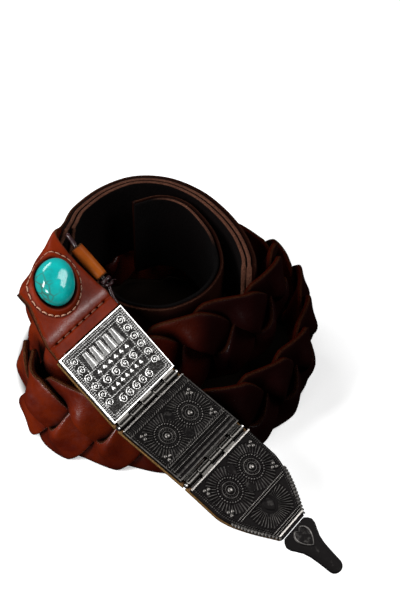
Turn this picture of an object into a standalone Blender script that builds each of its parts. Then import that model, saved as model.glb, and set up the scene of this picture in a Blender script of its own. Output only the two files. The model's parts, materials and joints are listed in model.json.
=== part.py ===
"""Coiled three-strand braided leather belt with a turquoise-set tab and three hinged silver plates.

The belt stands on its edge on the floor: +Z up, the tab and the plates come over the front rim (-Y side).
"""

import math

import bmesh
import bpy
import numpy as np
from mathutils import Matrix, Vector

MM = 0.001
GAP = 0.3  # free space left between neighbouring pieces

# Driving sizes, in millimetres
BRAID_WIDTH = 40.0
LEATHER = 1.8
STRIP_WIDTH = 14.0  # one strand of the braid, measured square to its own run
BRAID_PERIOD = 66.0  # length of belt in which a strand goes across and back
STRAP_HALF = 19.0
STRAP_LAYER = 2.0
TAB_LAYER = 2.2

# Stations of the braid's centre line: x, y and how far its lower edge stands off the floor.
# It starts at the outer left, goes once round and climbs inward to the right-hand side.
BRAID_STATIONS = (
    (-54, -24, 1), (-49, -45, 0), (-24, -57, 0), (6, -61, 0), (36, -51, 0), (59, -26, 0),
    (66, 4, 0), (59, 38, 0), (35, 60, 0), (0, 71, 1), (-37, 55, 3), (-52, 19, 6),
    (-49, -14, 8), (-38, -36, 10), (-14, -43, 13), (8, -35, 19), (26, -28.5, 24), (41, -21.5, 26),
    (49.5, -8, 28), (53, 8, 29),
)
# Stations of the strap's outer face: x, y, z of its middle, then the direction of its width.
# It carries on from the braid, crosses the back of the coil and turns flat into the tab.
STRAP_STATIONS = (
    (37.5, -9, 50, 0, 0, 1), (38, 0, 50, 0, 0, 1), (35.5, 15, 50, 0, 0, 1), (30, 31.5, 50, 0, 0, 1),
    (20, 48, 50, 0, 0, 1),
    (5, 59, 50, 0, 0, 1), (-12, 60, 50, 0, 0, 1), (-27, 49, 51, 0, 0, 1), (-38, 32, 52, 0, 0, 1),
    (-42.5, 12, 56, 0.08, 0.15, 1), (-45, -8, 68, 0.25, 0.45, 0.86), (-46.5, -22, 80, 0.38, 0.68, 0.6),
    (-48, -31.5, 87.5, 0.56, 0.78, 0.22),
)
# The belt's other end lies inside the coil.
END_STATIONS = ((-24, -6, 22), (-13, -22, 22), (5, -27, 23), (20, -19.5, 25), (27.5, -5, 27), (26.3, 12, 28),
                (21.5, 26.5, 28), (12.5, 40, 29), (1.5, 45, 29), (-10.5, 40, 29))

# The flat of the tab and of the first plate
TAB_EDGE = Vector((-24.5, -52.4, 68.9))  # middle of the tab's edge, against the first plate
ACROSS = Vector((0.608, 0.786, 0.111)).normalized()  # towards the back edge of the tab
ALONG = Vector((0.657, -0.419, -0.627))
ALONG = (ALONG - ALONG.dot(ACROSS) * ACROSS).normalized()  # down the chain of plates
FACE = ALONG.cross(ACROSS)
TAB_END = -0.5
TAB_FLAT = 31.0  # the tab is flat for this far from its edge
STONE_RUN = 24.0  # the stone's middle from the tab's edge
TAB_DROP = 0.6  # the leather lies this far below the faces of the plates
TAB_HALVES = (12.5, 17.0)  # half-widths at the stone, front and back
FOLD_RUN = 40.0  # distance of the fold from the tab's edge
FOLD_ROOM = 0.8  # free length on either side of the fold's axis
CORE_END = -52.0  # the inner layers of the strap stop short of the fold
LINING_END = -95.0
TAB_LINING_START = -34.0

HINGE_GAP = 5.0
PLATE_HALF = 19.0
PLATE_THICK = 2.2
BACKING_THICK = 1.6
FIRST_LENGTH = 33.5
SECOND_LENGTH = 30.4
THIRD_LENGTH = 39.8
TIP_LENGTH = 24.7
NECK_HALF = 7.0
SECOND_TURN = -17.7  # degrees up from the plate before
THIRD_TURN = 5.2
PIN_RADIUS = 0.9
KNUCKLE_RADIUS = 1.8
KNUCKLE_DEPTH = 1.9  # hinge axis below the faces of the plates
RUNNING_FIT = 0.08
KNUCKLES = 5
WEB_INSET = 0.25

STONE_HALVES = (10.3, 8.6)  # across the strap at 45 degrees, and square to that
STONE_HEIGHT = 5.5
STONE_SIDE = 1.9
STONE_SEAT = 2.4  # height of the stone's flat back over the leather
STONE_TURN = 135.0
ROLL_RUNS = (-30.0, -13.5)
ROLL_RADIUS = 2.9
LACE_RADIUS = 1.1
LACE_SIDE = 22.0
LACE_RUNS = (-35.5, -0.8)
HEM_RUN = -5.5

TAB_NODES = ("tab_leather", "tab_lining", "turquoise_stone", "stone_collar", "ring_thread", "hem_thread",
             "lace", "toggle_roll", "lace_knot")

MATERIALS = {
    "cognac_leather": ((0.30, 0.09, 0.03), 0.0, 0.45),
    "dark_leather": ((0.11, 0.05, 0.03), 0.0, 0.6),
    "tan_leather": ((0.55, 0.22, 0.05), 0.0, 0.5),
    "turquoise": ((0.02, 0.52, 0.50), 0.0, 0.15),
    "bright_silver": ((0.75, 0.74, 0.72), 1.0, 0.3),
    "dark_silver": ((0.22, 0.21, 0.20), 1.0, 0.35),
    "steel": ((0.55, 0.55, 0.56), 1.0, 0.25),
    "thread": ((0.66, 0.38, 0.25), 0.0, 0.8),
}


def clear_scene():
    for obj in list(bpy.data.objects):
        bpy.data.objects.remove(obj)


def material(name):
    found = bpy.data.materials.get(name)
    if found:
        return found
    made = bpy.data.materials.new(name)
    made.use_nodes = True
    colour, metal, rough = MATERIALS[name]
    shader = made.node_tree.nodes["Principled BSDF"]
    shader.inputs["Base Color"].default_value = (*colour, 1.0)
    shader.inputs["Metallic"].default_value = metal
    shader.inputs["Roughness"].default_value = rough
    return made


def add_mesh(name, points, faces, slot, smooth=False):
    """A mesh object from points in millimetres, its faces turned outward."""
    mesh = bpy.data.meshes.new(name)
    mesh.from_pydata([Vector(p) * MM for p in points], [], faces)
    work = bmesh.new()
    work.from_mesh(mesh)
    bmesh.ops.recalc_face_normals(work, faces=work.faces)
    if work.calc_volume(signed=True) < 0:
        bmesh.ops.reverse_faces(work, faces=work.faces)
    bmesh.ops.triangulate(work, faces=[f for f in work.faces if len(f.verts) > 4])
    work.to_mesh(mesh)
    work.free()
    mesh.polygons.foreach_set("use_smooth", [smooth] * len(mesh.polygons))
    mesh.materials.append(material(slot))
    obj = bpy.data.objects.new(name, mesh)
    bpy.context.scene.collection.objects.link(obj)
    return obj


def spline(stations, step):
    """Points about every step mm on the smooth curve through the stations, its unit tangents and its run."""
    nodes = np.array(stations, float)
    before = 2 * nodes[0] - nodes[1]
    after = 2 * nodes[-1] - nodes[-2]
    nodes = np.vstack([before, nodes, after])
    dense = []
    for i in range(1, len(nodes) - 2):
        a, b, c, d = nodes[i - 1:i + 3]
        for t in np.linspace(0, 1, 24, endpoint=False):
            dense.append(0.5 * (2 * b + (c - a) * t + (2 * a - 5 * b + 4 * c - d) * t**2
                                + (3 * b - a - 3 * c + d) * t**3))
    dense.append(nodes[-2])
    dense = np.array(dense)
    run = np.concatenate([[0], np.cumsum(np.linalg.norm(np.diff(dense[:, :3], axis=0), axis=1))])
    count = max(int(round(run[-1] / step)), 2)
    wanted = np.linspace(0, run[-1], count + 1)
    points = np.stack([np.interp(wanted, run, column) for column in dense.T], axis=1)
    tangents = np.gradient(points[:, :3], wanted, axis=0)
    tangents /= np.linalg.norm(tangents, axis=1, keepdims=True)
    return points, tangents, wanted


def upright_frames(stations, step, lift):
    """Centre points, width directions and outward normals of a strap that stands on its edge."""
    points, tangents, _ = spline(stations, step)
    points[:, 2] += lift
    flat = tangents * (1, 1, 0)
    flat /= np.linalg.norm(flat, axis=1, keepdims=True)
    outward = np.stack([flat[:, 1], -flat[:, 0], 0 * flat[:, 0]], axis=1)
    width = np.cross(outward, tangents)
    width *= np.sign(width[:, 2:3])
    width /= np.linalg.norm(width, axis=1, keepdims=True)
    return points, width, outward


def grid_solid(name, top, bottom, slot):
    """A closed body between two grids of points with the same rows and columns."""
    rows, columns = top.shape[:2]
    points = np.concatenate([top.reshape(-1, 3), bottom.reshape(-1, 3)])
    under = rows * columns
    faces = []
    for i in range(rows - 1):
        for j in range(columns - 1):
            a, b = i * columns + j, i * columns + j + 1
            c, d = b + columns, a + columns
            faces.append((a, b, c, d))
            faces.append((under + d, under + c, under + b, under + a))
    ring = [i * columns for i in range(rows)]
    ring += [(rows - 1) * columns + j for j in range(1, columns)]
    ring += [i * columns + columns - 1 for i in range(rows - 2, -1, -1)]
    ring += list(range(columns - 2, 0, -1))
    for a, b in zip(ring, ring[1:] + ring[:1]):
        faces.append((a, b, under + b, under + a))
    return add_mesh(name, points, faces, slot, smooth=True)


def strip_solid(name, frames, left, right, low, high, slot, across=(-1, 0, 1)):
    """A flat strap layer: left and right are its half-widths, low and high its faces along the normal."""
    points, width, normal = (np.array(part, float) for part in frames)
    left, right = np.broadcast_to(left, len(points)), np.broadcast_to(right, len(points))
    rows = []
    for q in across:
        reach = np.where(q < 0, left, right) * q
        rows.append(points + width * reach[:, None])
    middle = np.stack(rows, axis=1)
    return grid_solid(name, middle + normal[:, None] * high, middle + normal[:, None] * low, slot)


# ---- braid ----

STRANDS = 3
SWING = (BRAID_WIDTH - STRIP_WIDTH) / 2  # how far a strand's middle goes to either side
PERIOD_STEPS = 18
ACROSS_STEPS = 4
LAYER_PITCH = LEATHER + 5 * GAP
SWEEPS = 400
SETTLING = 60  # last sweeps, which only part the strands


def strand_grid():
    """Middle, half-width and side positions of one strand at every step of its period."""
    turns = 2 * np.pi * np.arange(PERIOD_STEPS) / PERIOD_STEPS
    middle = SWING * np.sin(turns)
    slope = SWING * np.cos(turns) * 2 * np.pi / BRAID_PERIOD
    half = np.minimum(0.5 * STRIP_WIDTH * np.hypot(1, slope), 0.5 * BRAID_WIDTH - np.abs(middle))
    share = np.linspace(-1, 1, ACROSS_STEPS + 1)
    return middle, half, middle[:, None] + half[:, None] * share


def smoothed(heights):
    padded = np.pad(heights, ((0, 0), (1, 1)), mode="edge")
    along = np.roll(heights, 1, 0) + np.roll(heights, -1, 0)
    return 0.7 * heights + 0.075 * (along + padded[:, :-2] + padded[:, 2:])


def part_strands(heights, middle, half, side):
    """Moves a strand's points away from the strand that crosses over it and from the one under it."""
    move = np.zeros_like(heights)
    count = np.zeros_like(heights)
    for i in range(PERIOD_STEPS):
        for way in (1, -1):
            other = (i + way * PERIOD_STEPS // STRANDS) % PERIOD_STEPS
            for j in range(ACROSS_STEPS + 1):
                there = (side[i, j] - middle[other]) / half[other]
                if abs(there) > 1.1:
                    continue
                place = min(max((there + 1) / 2 * ACROSS_STEPS, 0), ACROSS_STEPS)
                k = min(int(place), ACROSS_STEPS - 1)
                part = place - k
                level = (1 - part) * heights[other, k] + part * heights[other, k + 1]
                short = LAYER_PITCH - way * (level - heights[i, j])
                if short > 0:
                    for row, column, sign in ((i, j, -way), (other, k, way), (other, k + 1, way)):
                        move[row, column] += sign * short / 2
                        count[row, column] += 1
    return heights + move / np.maximum(count, 1)


def strand_heights(middle, half, side):
    """Height of one strand over its period: each strand lies over the one a third of a period behind."""
    turns = 2 * np.pi * np.arange(PERIOD_STEPS) / PERIOD_STEPS
    heights = np.repeat(-2 * np.sin(2 * turns)[:, None], ACROSS_STEPS + 1, axis=1)
    for sweep in range(SWEEPS):
        if sweep < SWEEPS - SETTLING:
            heights = smoothed(heights)
        for _ in range(3):
            heights = part_strands(heights, middle, half, side)
    return heights - (heights.min() + heights.max()) / 2


def build_braid():
    step = BRAID_PERIOD / PERIOD_STEPS
    frames = upright_frames(BRAID_STATIONS, step, BRAID_WIDTH / 2)
    points, width, outward = frames
    middle, half, side = strand_grid()
    heights = strand_heights(middle, half, side)
    for k in range(STRANDS):
        rows = [(i + k * PERIOD_STEPS // STRANDS) % PERIOD_STEPS for i in range(len(points))]
        centre = points[:, None] + width[:, None] * side[rows][:, :, None]
        centre = centre + outward[:, None] * heights[rows][:, :, None]
        thick = outward[:, None] * (LEATHER / 2)
        grid_solid("braid_strand_" + "abc"[k], centre + thick, centre - thick, "cognac_leather")


# ---- straps and tab ----

def strap_curve(step):
    """Frames of the strap's outer face from the braid to the tab's edge, and the run left to that edge."""
    flat = [(*(TAB_EDGE - ALONG * (TAB_FLAT * share)), *ACROSS) for share in (1, 0.93, 0.7, 0.35, 0)]
    points, tangent, run = spline(STRAP_STATIONS + tuple(flat), step)
    centre, width = points[:, :3], points[:, 3:]
    width = width / np.linalg.norm(width, axis=1, keepdims=True)
    normal = np.cross(tangent, width)
    normal /= np.linalg.norm(normal, axis=1, keepdims=True)
    return centre, width, normal, run - run[-1]


def strap_halves(run):
    """Front and back half-widths: full on the coil and at the plates, narrower at the stone and fold."""
    pinch = np.interp(run, (-90, -FOLD_RUN - 5, -STONE_RUN, -8, 0), (0, 1, 1, 0.1, 0))
    return [STRAP_HALF - (STRAP_HALF - narrow) * pinch for narrow in TAB_HALVES]


class StrapSurface:
    """Places a point by its run from the tab's edge (negative along the strap), its side and its height."""

    def __init__(self):
        self.centre, self.width, self.normal, self.run = strap_curve(1.0)

    def __call__(self, run, side, up):
        rows = []
        for part in (self.centre, self.width, self.normal):
            rows.append(np.array([np.interp(run, self.run, part[:, k]) for k in range(3)]))
        return rows[0] + rows[1] * side + rows[2] * (up - TAB_DROP)


def strap_layer(surface, name, run_range, step, high, thick, slot):
    """One layer of leather between two runs of the strap, its upper face at height high."""
    count = int(round((run_range[1] - run_range[0]) / step)) + 1
    runs = np.linspace(*run_range, count)
    front, back = strap_halves(runs)
    faces = []
    for height in (high, high - thick):
        faces.append([[surface(run, side, height) for side in (-front[i], 0, back[i])]
                      for i, run in enumerate(runs)])
    grid_solid(name, np.array(faces[0]), np.array(faces[1]), slot)


def build_straps(surface):
    start = surface.run[0]
    fold = -FOLD_RUN - FOLD_ROOM
    pitch = STRAP_LAYER + GAP
    strap_layer(surface, "strap_grain", (start, fold), 6.0, 0, STRAP_LAYER, "cognac_leather")
    strap_layer(surface, "strap_core", (start, CORE_END), 6.0, -pitch, STRAP_LAYER, "dark_leather")
    strap_layer(surface, "strap_lining", (start, LINING_END), 6.0, -2 * pitch, STRAP_LAYER, "dark_leather")
    end = upright_frames(END_STATIONS, 6.0, STRAP_HALF)
    strip_solid("end_strap_grain", end, STRAP_HALF, STRAP_HALF, GAP / 2, STRAP_LAYER, "cognac_leather")
    strip_solid("end_strap_lining", end, STRAP_HALF, STRAP_HALF, -STRAP_LAYER, -GAP / 2, "dark_leather")


def build_tab(surface):
    leather = (-FOLD_RUN + FOLD_ROOM, TAB_END)
    lining = (TAB_LINING_START, TAB_END)
    strap_layer(surface, "tab_leather", leather, 2.5, 0, TAB_LAYER, "cognac_leather")
    strap_layer(surface, "tab_lining", lining, 2.5, -TAB_LAYER - GAP, TAB_LAYER - 0.2, "dark_leather")


def ring_solid(name, loop, section, slot):
    """A closed tube: loop gives (centre, outward, up) round the ring, section the (out, up) outline."""
    points = []
    for centre, outward, up in loop:
        points += [centre + outward * out + up * rise for out, rise in section]
    n, m = len(loop), len(section)
    faces = [(i * m + j, i * m + (j + 1) % m, (i + 1) % n * m + (j + 1) % m, (i + 1) % n * m + j)
             for i in range(n) for j in range(m)]
    return add_mesh(name, points, faces, slot, smooth=True)


def circle(radius, count, middle=(0.0, 0.0)):
    turns = [2 * math.pi * i / count for i in range(count)]
    return [(middle[0] + radius * math.cos(t), middle[1] + radius * math.sin(t)) for t in turns]


def stone_loop(surface, grow, up, count=32):
    """Frames round the stone's outline, grown outward and lying on the leather."""
    turn = math.radians(STONE_TURN)
    loop = []
    for i in range(count):
        angle = 2 * math.pi * i / count
        a, b = STONE_HALVES[0] * math.cos(angle), STONE_HALVES[1] * math.sin(angle)
        length = math.hypot(a, b)
        a, b = a * (1 + grow / length), b * (1 + grow / length)
        run = -STONE_RUN + a * math.cos(turn) - b * math.sin(turn)
        side = STONE_SIDE + a * math.sin(turn) + b * math.cos(turn)
        centre = surface(run, side, up)
        middle = surface(-STONE_RUN, STONE_SIDE, up)
        normal = surface(run, side, up + 1) - centre
        outward = centre - middle
        outward -= normal * np.dot(outward, normal)
        outward /= np.linalg.norm(outward)
        loop.append((centre, outward, normal))
    return loop


def build_stone(surface):
    count = 32
    normal = np.array(FACE)
    middle = surface(-STONE_RUN, STONE_SIDE, STONE_SEAT)
    outline = [np.array(centre) for centre, _, _ in stone_loop(surface, -1.2, 2 * GAP, count)]
    outline = [p - normal * np.dot(p - middle, normal) for p in outline]
    rings = [(0.95, 0.0), (1.0, 0.25), (0.93, 0.6), (0.74, 0.84), (0.45, 0.96)]
    points = [middle]
    for share, rise in rings:
        points += [middle + (p - middle) * share + normal * rise * STONE_HEIGHT for p in outline]
    points.append(middle + normal * STONE_HEIGHT)
    faces = [(0, 1 + (i + 1) % count, 1 + i) for i in range(count)]
    for k in range(len(rings) - 1):
        a, b = 1 + k * count, 1 + (k + 1) * count
        faces += [(a + i, a + (i + 1) % count, b + (i + 1) % count, b + i) for i in range(count)]
    last = 1 + (len(rings) - 1) * count
    faces += [(last + i, last + (i + 1) % count, len(points) - 1) for i in range(count)]
    add_mesh("turquoise_stone", points, faces, "turquoise", smooth=True)
    collar = [(-0.7, 0.0), (0.9, 0.0), (0.7, 0.8), (0.0, 1.2), (-0.7, 0.9)]
    ring_solid("stone_collar", stone_loop(surface, 0.0, 2 * GAP), collar, "cognac_leather")
    thread = circle(0.35, 6)
    ring_solid("ring_thread", stone_loop(surface, 3.2, 0.35 + GAP), thread, "thread")


def tube_along(name, path, outline_out, outline_in, slot):
    """A tube with a bore, or a rod when outline_in is None, square-ended along a path of frames."""
    outer, inner = [], []
    for centre, a, b in path:
        outer.append([centre + a * x + b * y for x, y in outline_out])
        if outline_in:
            inner.append([centre + a * x + b * y for x, y in outline_in])
    m, n = len(outline_out), len(path)
    points = [p for row in outer for p in row] + [p for row in inner for p in row]
    faces = [(i * m + j, i * m + (j + 1) % m, (i + 1) * m + (j + 1) % m, (i + 1) * m + j)
             for i in range(n - 1) for j in range(m)]
    if not outline_in:
        faces += [tuple(range(m)), tuple((n - 1) * m + j for j in range(m))]
        return add_mesh(name, points, faces, slot, smooth=True)
    base = n * m
    faces += [(base + j0, base + j1, base + j1 + m, base + j0 + m) for i in range(n - 1)
              for j0, j1 in ((i * m + j, i * m + (j + 1) % m) for j in range(m))]
    for row in (0, (n - 1) * m):
        faces += [(row + j, row + (j + 1) % m, base + row + (j + 1) % m, base + row + j) for j in range(m)]
    return add_mesh(name, points, faces, slot, smooth=True)


def edge_path(surface, runs, side, up):
    """Frames along the tab's back edge."""
    path = []
    for run in runs:
        centre = surface(run, side, up)
        out = surface(run, side + 1, up) - centre
        rise = surface(run, side, up + 1) - centre
        path.append((centre, out, rise))
    return path


def build_lace(surface):
    depth = -TAB_LAYER / 2
    lace = edge_path(surface, np.linspace(*LACE_RUNS, 14), LACE_SIDE, depth)
    tube_along("lace", lace, circle(LACE_RADIUS, 10), None, "dark_leather")
    bore = circle(LACE_RADIUS + GAP, 14)
    roll = edge_path(surface, np.linspace(*ROLL_RUNS, 7), LACE_SIDE, depth)
    tube_along("toggle_roll", roll, circle(ROLL_RADIUS, 14), bore, "tan_leather")
    knot = edge_path(surface, np.linspace(ROLL_RUNS[1] + GAP, ROLL_RUNS[1] + 4.5, 4), LACE_SIDE, depth)
    tube_along("lace_knot", knot, circle(2.5, 14), bore, "dark_leather")
    hem = edge_path(surface, (HEM_RUN, HEM_RUN), 0, 0.35 + GAP)
    reach = STRAP_HALF - 3.0
    rod = [(centre + out * side, surface(HEM_RUN + 1, 0, 0) - surface(HEM_RUN, 0, 0), rise)
           for side, (centre, out, rise) in zip((-reach, reach), hem)]
    tube_along("hem_thread", rod, circle(0.35, 6), None, "thread")


# ---- plates ----

class PlateFrame:
    """Places points by run along the plate, side across it and height over its face."""

    def __init__(self, start, turn_from=None, degrees=0.0):
        along = ALONG if turn_from is None else turn_from.along
        along = Matrix.Rotation(math.radians(-degrees), 3, ACROSS) @ along
        self.start, self.along, self.up = start, along, along.cross(ACROSS)

    def at(self, run, side, up):
        return self.start + self.along * run + ACROSS * side + self.up * up

    def after(self, length, degrees):
        """The next plate, hinged on the axis in the middle of the gap."""
        axis = self.at(length + HINGE_GAP / 2, 0, -KNUCKLE_DEPTH)
        following = PlateFrame(Vector((0, 0, 0)), self, degrees)
        following.start = axis + following.along * (HINGE_GAP / 2) + following.up * KNUCKLE_DEPTH
        return following


def outline_solid(frame, name, outline, low, high, slot):
    """A slab from an outline of (run, side) points."""
    n = len(outline)
    points = [frame.at(run, side, up) for up in (low, high) for run, side in outline]
    faces = [tuple(range(n)), tuple(range(n, 2 * n))]
    faces += [(i, (i + 1) % n, n + (i + 1) % n, n + i) for i in range(n)]
    return add_mesh(name, points, faces, slot)


def add_to(target, extra):
    """Joins a helper solid to a node."""
    extra.hide_render = True
    extra.display_type = "WIRE"
    joined = target.modifiers.new(extra.name, "BOOLEAN")
    joined.operation = "UNION"
    joined.solver = "EXACT"
    joined.object = extra


def cut_from(target, cutter):
    cutter.hide_render = True
    cutter.display_type = "WIRE"
    cut = target.modifiers.new(cutter.name, "BOOLEAN")
    cut.operation = "DIFFERENCE"
    cut.solver = "EXACT"
    cut.object = cutter


def cross_rod(frame, name, run, sides, radius, slot, count=20):
    """A round bar across the plate, its axis at the hinge's depth."""
    path = []
    for side in sides:
        path.append((np.array(frame.at(run, side, -KNUCKLE_DEPTH)), np.array(frame.along), np.array(frame.up)))
    return tube_along(name, path, circle(radius, count), None, slot)


def rectangle(run0, run1, half):
    return [(run0, -half), (run1, -half), (run1, half), (run0, half)]


def knuckle_sides(own):
    """Side ranges of every second knuckle across the plate, starting with the first when own is 0."""
    pitch = 2 * (PLATE_HALF - 1.0) / KNUCKLES
    ranges = []
    for k in range(own, KNUCKLES, 2):
        start = -PLATE_HALF + 1.0 + k * pitch
        ranges.append((start + GAP / 2, start + pitch - GAP / 2))
    return ranges


def add_knuckles(frame, plate, run_axis, run_edge, own, slot):
    """Barrels on the hinge axis, each tied to the plate by a web, and the bore through them."""
    for k, (side0, side1) in enumerate(knuckle_sides(own)):
        barrel = cross_rod(frame, f"{plate.name}_barrel_{own}_{k}", run_axis, (side0, side1), KNUCKLE_RADIUS, slot)
        low, high = side0 + WEB_INSET, side1 - WEB_INSET
        web = [(run_axis, low), (run_edge, low), (run_edge, high), (run_axis, high)]
        tie = outline_solid(frame, f"{plate.name}_web_{own}_{k}", web, -PLATE_THICK + 0.2, -0.7, slot)
        add_to(plate, barrel)
        add_to(plate, tie)
    bore = cross_rod(frame, f"{plate.name}_bore_{own}", run_axis, (-PLATE_HALF, PLATE_HALF),
                     PIN_RADIUS + RUNNING_FIT, slot)
    cut_from(plate, bore)


def third_outline(inset, length):
    """Straight sides, then a double curve in to the neck."""
    straight = 0.36 * length
    steps = 8
    side = []
    for i in range(steps + 1):
        t = i / steps
        half = NECK_HALF + (PLATE_HALF - NECK_HALF) * (1 - t**1.6) ** 1.15
        side.append((straight + (length - straight) * t, half - inset))
    front = [(run, -half) for run, half in side]
    return [(inset, -PLATE_HALF + inset)] + front + side[::-1] + [(inset, PLATE_HALF - inset)]


def tip_outline():
    """A spade that swells from the neck, then draws in to a rounded end."""
    swell = ((0.0, 6.2), (2.0, 8.6), (4.6, 8.2), (9.0, 5.4), (14.0, 4.0), (20.0, 3.4))
    end = [(TIP_LENGTH - 3.2 + 3.2 * math.sin(t), 3.2 * math.cos(t)) for t in (0.3, 0.8, 1.3)]
    side = list(swell) + end
    return [(run, -half) for run, half in side] + [(run, half) for run, half in side[::-1]]


def raised(frame, plate, name, outline, rise, slot):
    add_to(plate, outline_solid(frame, name, outline, -0.5, rise, slot))


def build_first(frame):
    slot = "bright_silver"
    plate = outline_solid(frame, "plate_1", rectangle(0, FIRST_LENGTH, PLATE_HALF), -PLATE_THICK, -0.3, slot)
    for k in range(6):
        side = -10.0 + 4.0 * k
        wedge = [(5.5, side - 0.6), (13.0, side - 1.4), (13.0, side + 1.4), (5.5, side + 0.6)]
        raised(frame, plate, f"wedge_{k}", wedge, 0.0, slot)
    add_knuckles(frame, plate, FIRST_LENGTH + HINGE_GAP / 2, FIRST_LENGTH - 0.5, 0, slot)
    outline_solid(frame, "plate_1_backing", rectangle(0.8, FIRST_LENGTH - 0.8, PLATE_HALF - 0.5),
                  -PLATE_THICK - GAP - BACKING_THICK, -PLATE_THICK - GAP, "tan_leather")
    cross_rod(frame, "hinge_pin_1", FIRST_LENGTH + HINGE_GAP / 2, (-PLATE_HALF, PLATE_HALF), PIN_RADIUS, "steel")


def rosette(frame, plate, name, run, side, slot):
    disc = [(run + a, side + b) for a, b in circle(5.2, 16)]
    raised(frame, plate, name, disc, -0.05, slot)
    boss = [(run + a, side + b) for a, b in circle(1.8, 10)]
    raised(frame, plate, name + "_boss", boss, 0.5, slot)


def build_second(frame):
    slot = "dark_silver"
    plate = outline_solid(frame, "plate_2", rectangle(0, SECOND_LENGTH, PLATE_HALF), -PLATE_THICK, -0.3, slot)
    for k, side in enumerate((-7.5, 7.5)):
        rosette(frame, plate, f"rosette_2_{k}", 12.5, side, slot)
    add_knuckles(frame, plate, -HINGE_GAP / 2, 0.5, 1, slot)
    add_knuckles(frame, plate, SECOND_LENGTH + HINGE_GAP / 2, SECOND_LENGTH - 0.5, 0, slot)
    outline_solid(frame, "plate_2_backing", rectangle(0.8, SECOND_LENGTH - 0.8, PLATE_HALF - 0.5),
                  -PLATE_THICK - GAP - BACKING_THICK, -PLATE_THICK - GAP, "tan_leather")
    cross_rod(frame, "hinge_pin_2", SECOND_LENGTH + HINGE_GAP / 2, (-PLATE_HALF, PLATE_HALF), PIN_RADIUS, "steel")


def build_third(frame):
    slot = "dark_silver"
    plate = outline_solid(frame, "plate_3", third_outline(0, THIRD_LENGTH), -PLATE_THICK, -0.3, slot)
    for k, side in enumerate((-7.5, 7.5)):
        rosette(frame, plate, f"rosette_3_{k}", 9.5, side, slot)
    add_knuckles(frame, plate, -HINGE_GAP / 2, 0.5, 1, slot)
    backing = third_outline(0.8, THIRD_LENGTH - 1.0)
    outline_solid(frame, "plate_3_backing", backing,
                  -PLATE_THICK - GAP - BACKING_THICK, -PLATE_THICK - GAP, "tan_leather")
    tip = PlateFrame(frame.at(THIRD_LENGTH + GAP, 0, 0), frame, 0.0)
    outline_solid(tip, "tip", tip_outline(), -PLATE_THICK, -0.3, slot)


def centre_on_floor():
    """Moves every mesh so that the origin is under the middle of the object, and returns the move in mm."""
    solids = [obj for obj in bpy.data.objects if not obj.hide_render]
    points = np.array([vertex.co[:] for obj in solids for vertex in obj.data.vertices])
    low, high = points.min(axis=0), points.max(axis=0)
    move = Vector((-(low[0] + high[0]) / 2, -(low[1] + high[1]) / 2, -low[2]))
    for mesh in bpy.data.meshes:
        mesh.transform(Matrix.Translation(move))
    return move / MM


def hang(name, place, nodes, parent=None, parent_place=None):
    """Parents nodes to an empty that stands on their joint's axis; places are in millimetres."""
    empty = bpy.data.objects.new(name, None)
    bpy.context.scene.collection.objects.link(empty)
    empty.location = place * MM
    if parent:
        empty.parent = parent
        empty.matrix_parent_inverse = Matrix.Translation(-parent_place * MM)
    for node in nodes:
        obj = bpy.data.objects[node]
        obj.parent = empty
        obj.matrix_parent_inverse = Matrix.Translation(-place * MM)
    return empty


clear_scene()
build_braid()
strap_surface = StrapSurface()
build_straps(strap_surface)
build_tab(strap_surface)
build_stone(strap_surface)
build_lace(strap_surface)
first = PlateFrame(TAB_EDGE)
second = first.after(FIRST_LENGTH, -SECOND_TURN)
third = second.after(SECOND_LENGTH, -THIRD_TURN)
build_first(first)
build_second(second)
build_third(third)
moved = centre_on_floor()
fold = Vector(strap_surface(-FOLD_RUN, 0, -TAB_LAYER / 2)) + moved
seam = first.at(TAB_END / 2, 0, -TAB_DROP) + moved
hinge_1 = first.at(FIRST_LENGTH + HINGE_GAP / 2, 0, -KNUCKLE_DEPTH) + moved
hinge_2 = second.at(SECOND_LENGTH + HINGE_GAP / 2, 0, -KNUCKLE_DEPTH) + moved
tab_axis = hang("fold_axis", fold, TAB_NODES)
first_axis = hang("seam_axis", seam, ("plate_1", "plate_1_backing", "hinge_pin_1"), tab_axis, fold)
second_axis = hang("hinge_1_axis", hinge_1, ("plate_2", "plate_2_backing", "hinge_pin_2"), first_axis, seam)
hang("hinge_2_axis", hinge_2, ("plate_3", "plate_3_backing", "tip"), second_axis, hinge_1)
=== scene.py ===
"""Looks of a coiled braided leather belt with a turquoise-set tab and hinged silver plates.

Lengths are millimetres until a mesh is made. The plates' places come from the frame's joints, and the coil's
centre line is laid out from the tab's seam, which is one of those joints.
"""

import json
import math

import bpy
import numpy as np
from mathutils import Matrix, Vector


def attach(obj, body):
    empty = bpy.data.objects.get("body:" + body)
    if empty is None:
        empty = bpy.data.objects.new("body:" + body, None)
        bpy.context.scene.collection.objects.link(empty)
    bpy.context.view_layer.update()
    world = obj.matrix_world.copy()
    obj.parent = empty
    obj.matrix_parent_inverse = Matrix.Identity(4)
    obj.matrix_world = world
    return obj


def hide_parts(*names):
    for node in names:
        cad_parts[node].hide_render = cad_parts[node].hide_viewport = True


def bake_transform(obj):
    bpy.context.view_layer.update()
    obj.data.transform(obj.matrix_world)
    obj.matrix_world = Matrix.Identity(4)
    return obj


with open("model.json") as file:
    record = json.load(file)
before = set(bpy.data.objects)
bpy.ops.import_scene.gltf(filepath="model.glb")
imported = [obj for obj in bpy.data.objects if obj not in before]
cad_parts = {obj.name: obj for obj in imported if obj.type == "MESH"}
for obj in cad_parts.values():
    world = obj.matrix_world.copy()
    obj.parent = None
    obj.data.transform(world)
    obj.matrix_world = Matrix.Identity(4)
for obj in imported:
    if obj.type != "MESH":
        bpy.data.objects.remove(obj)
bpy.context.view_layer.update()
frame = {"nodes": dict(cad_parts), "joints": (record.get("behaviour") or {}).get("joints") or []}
joints = {joint["name"]: joint for joint in frame["joints"]}

MM = 0.001

# ---- places taken from the frame ----


def unit(vector):
    vector = np.array(vector, float)
    return vector / np.linalg.norm(vector)


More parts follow.
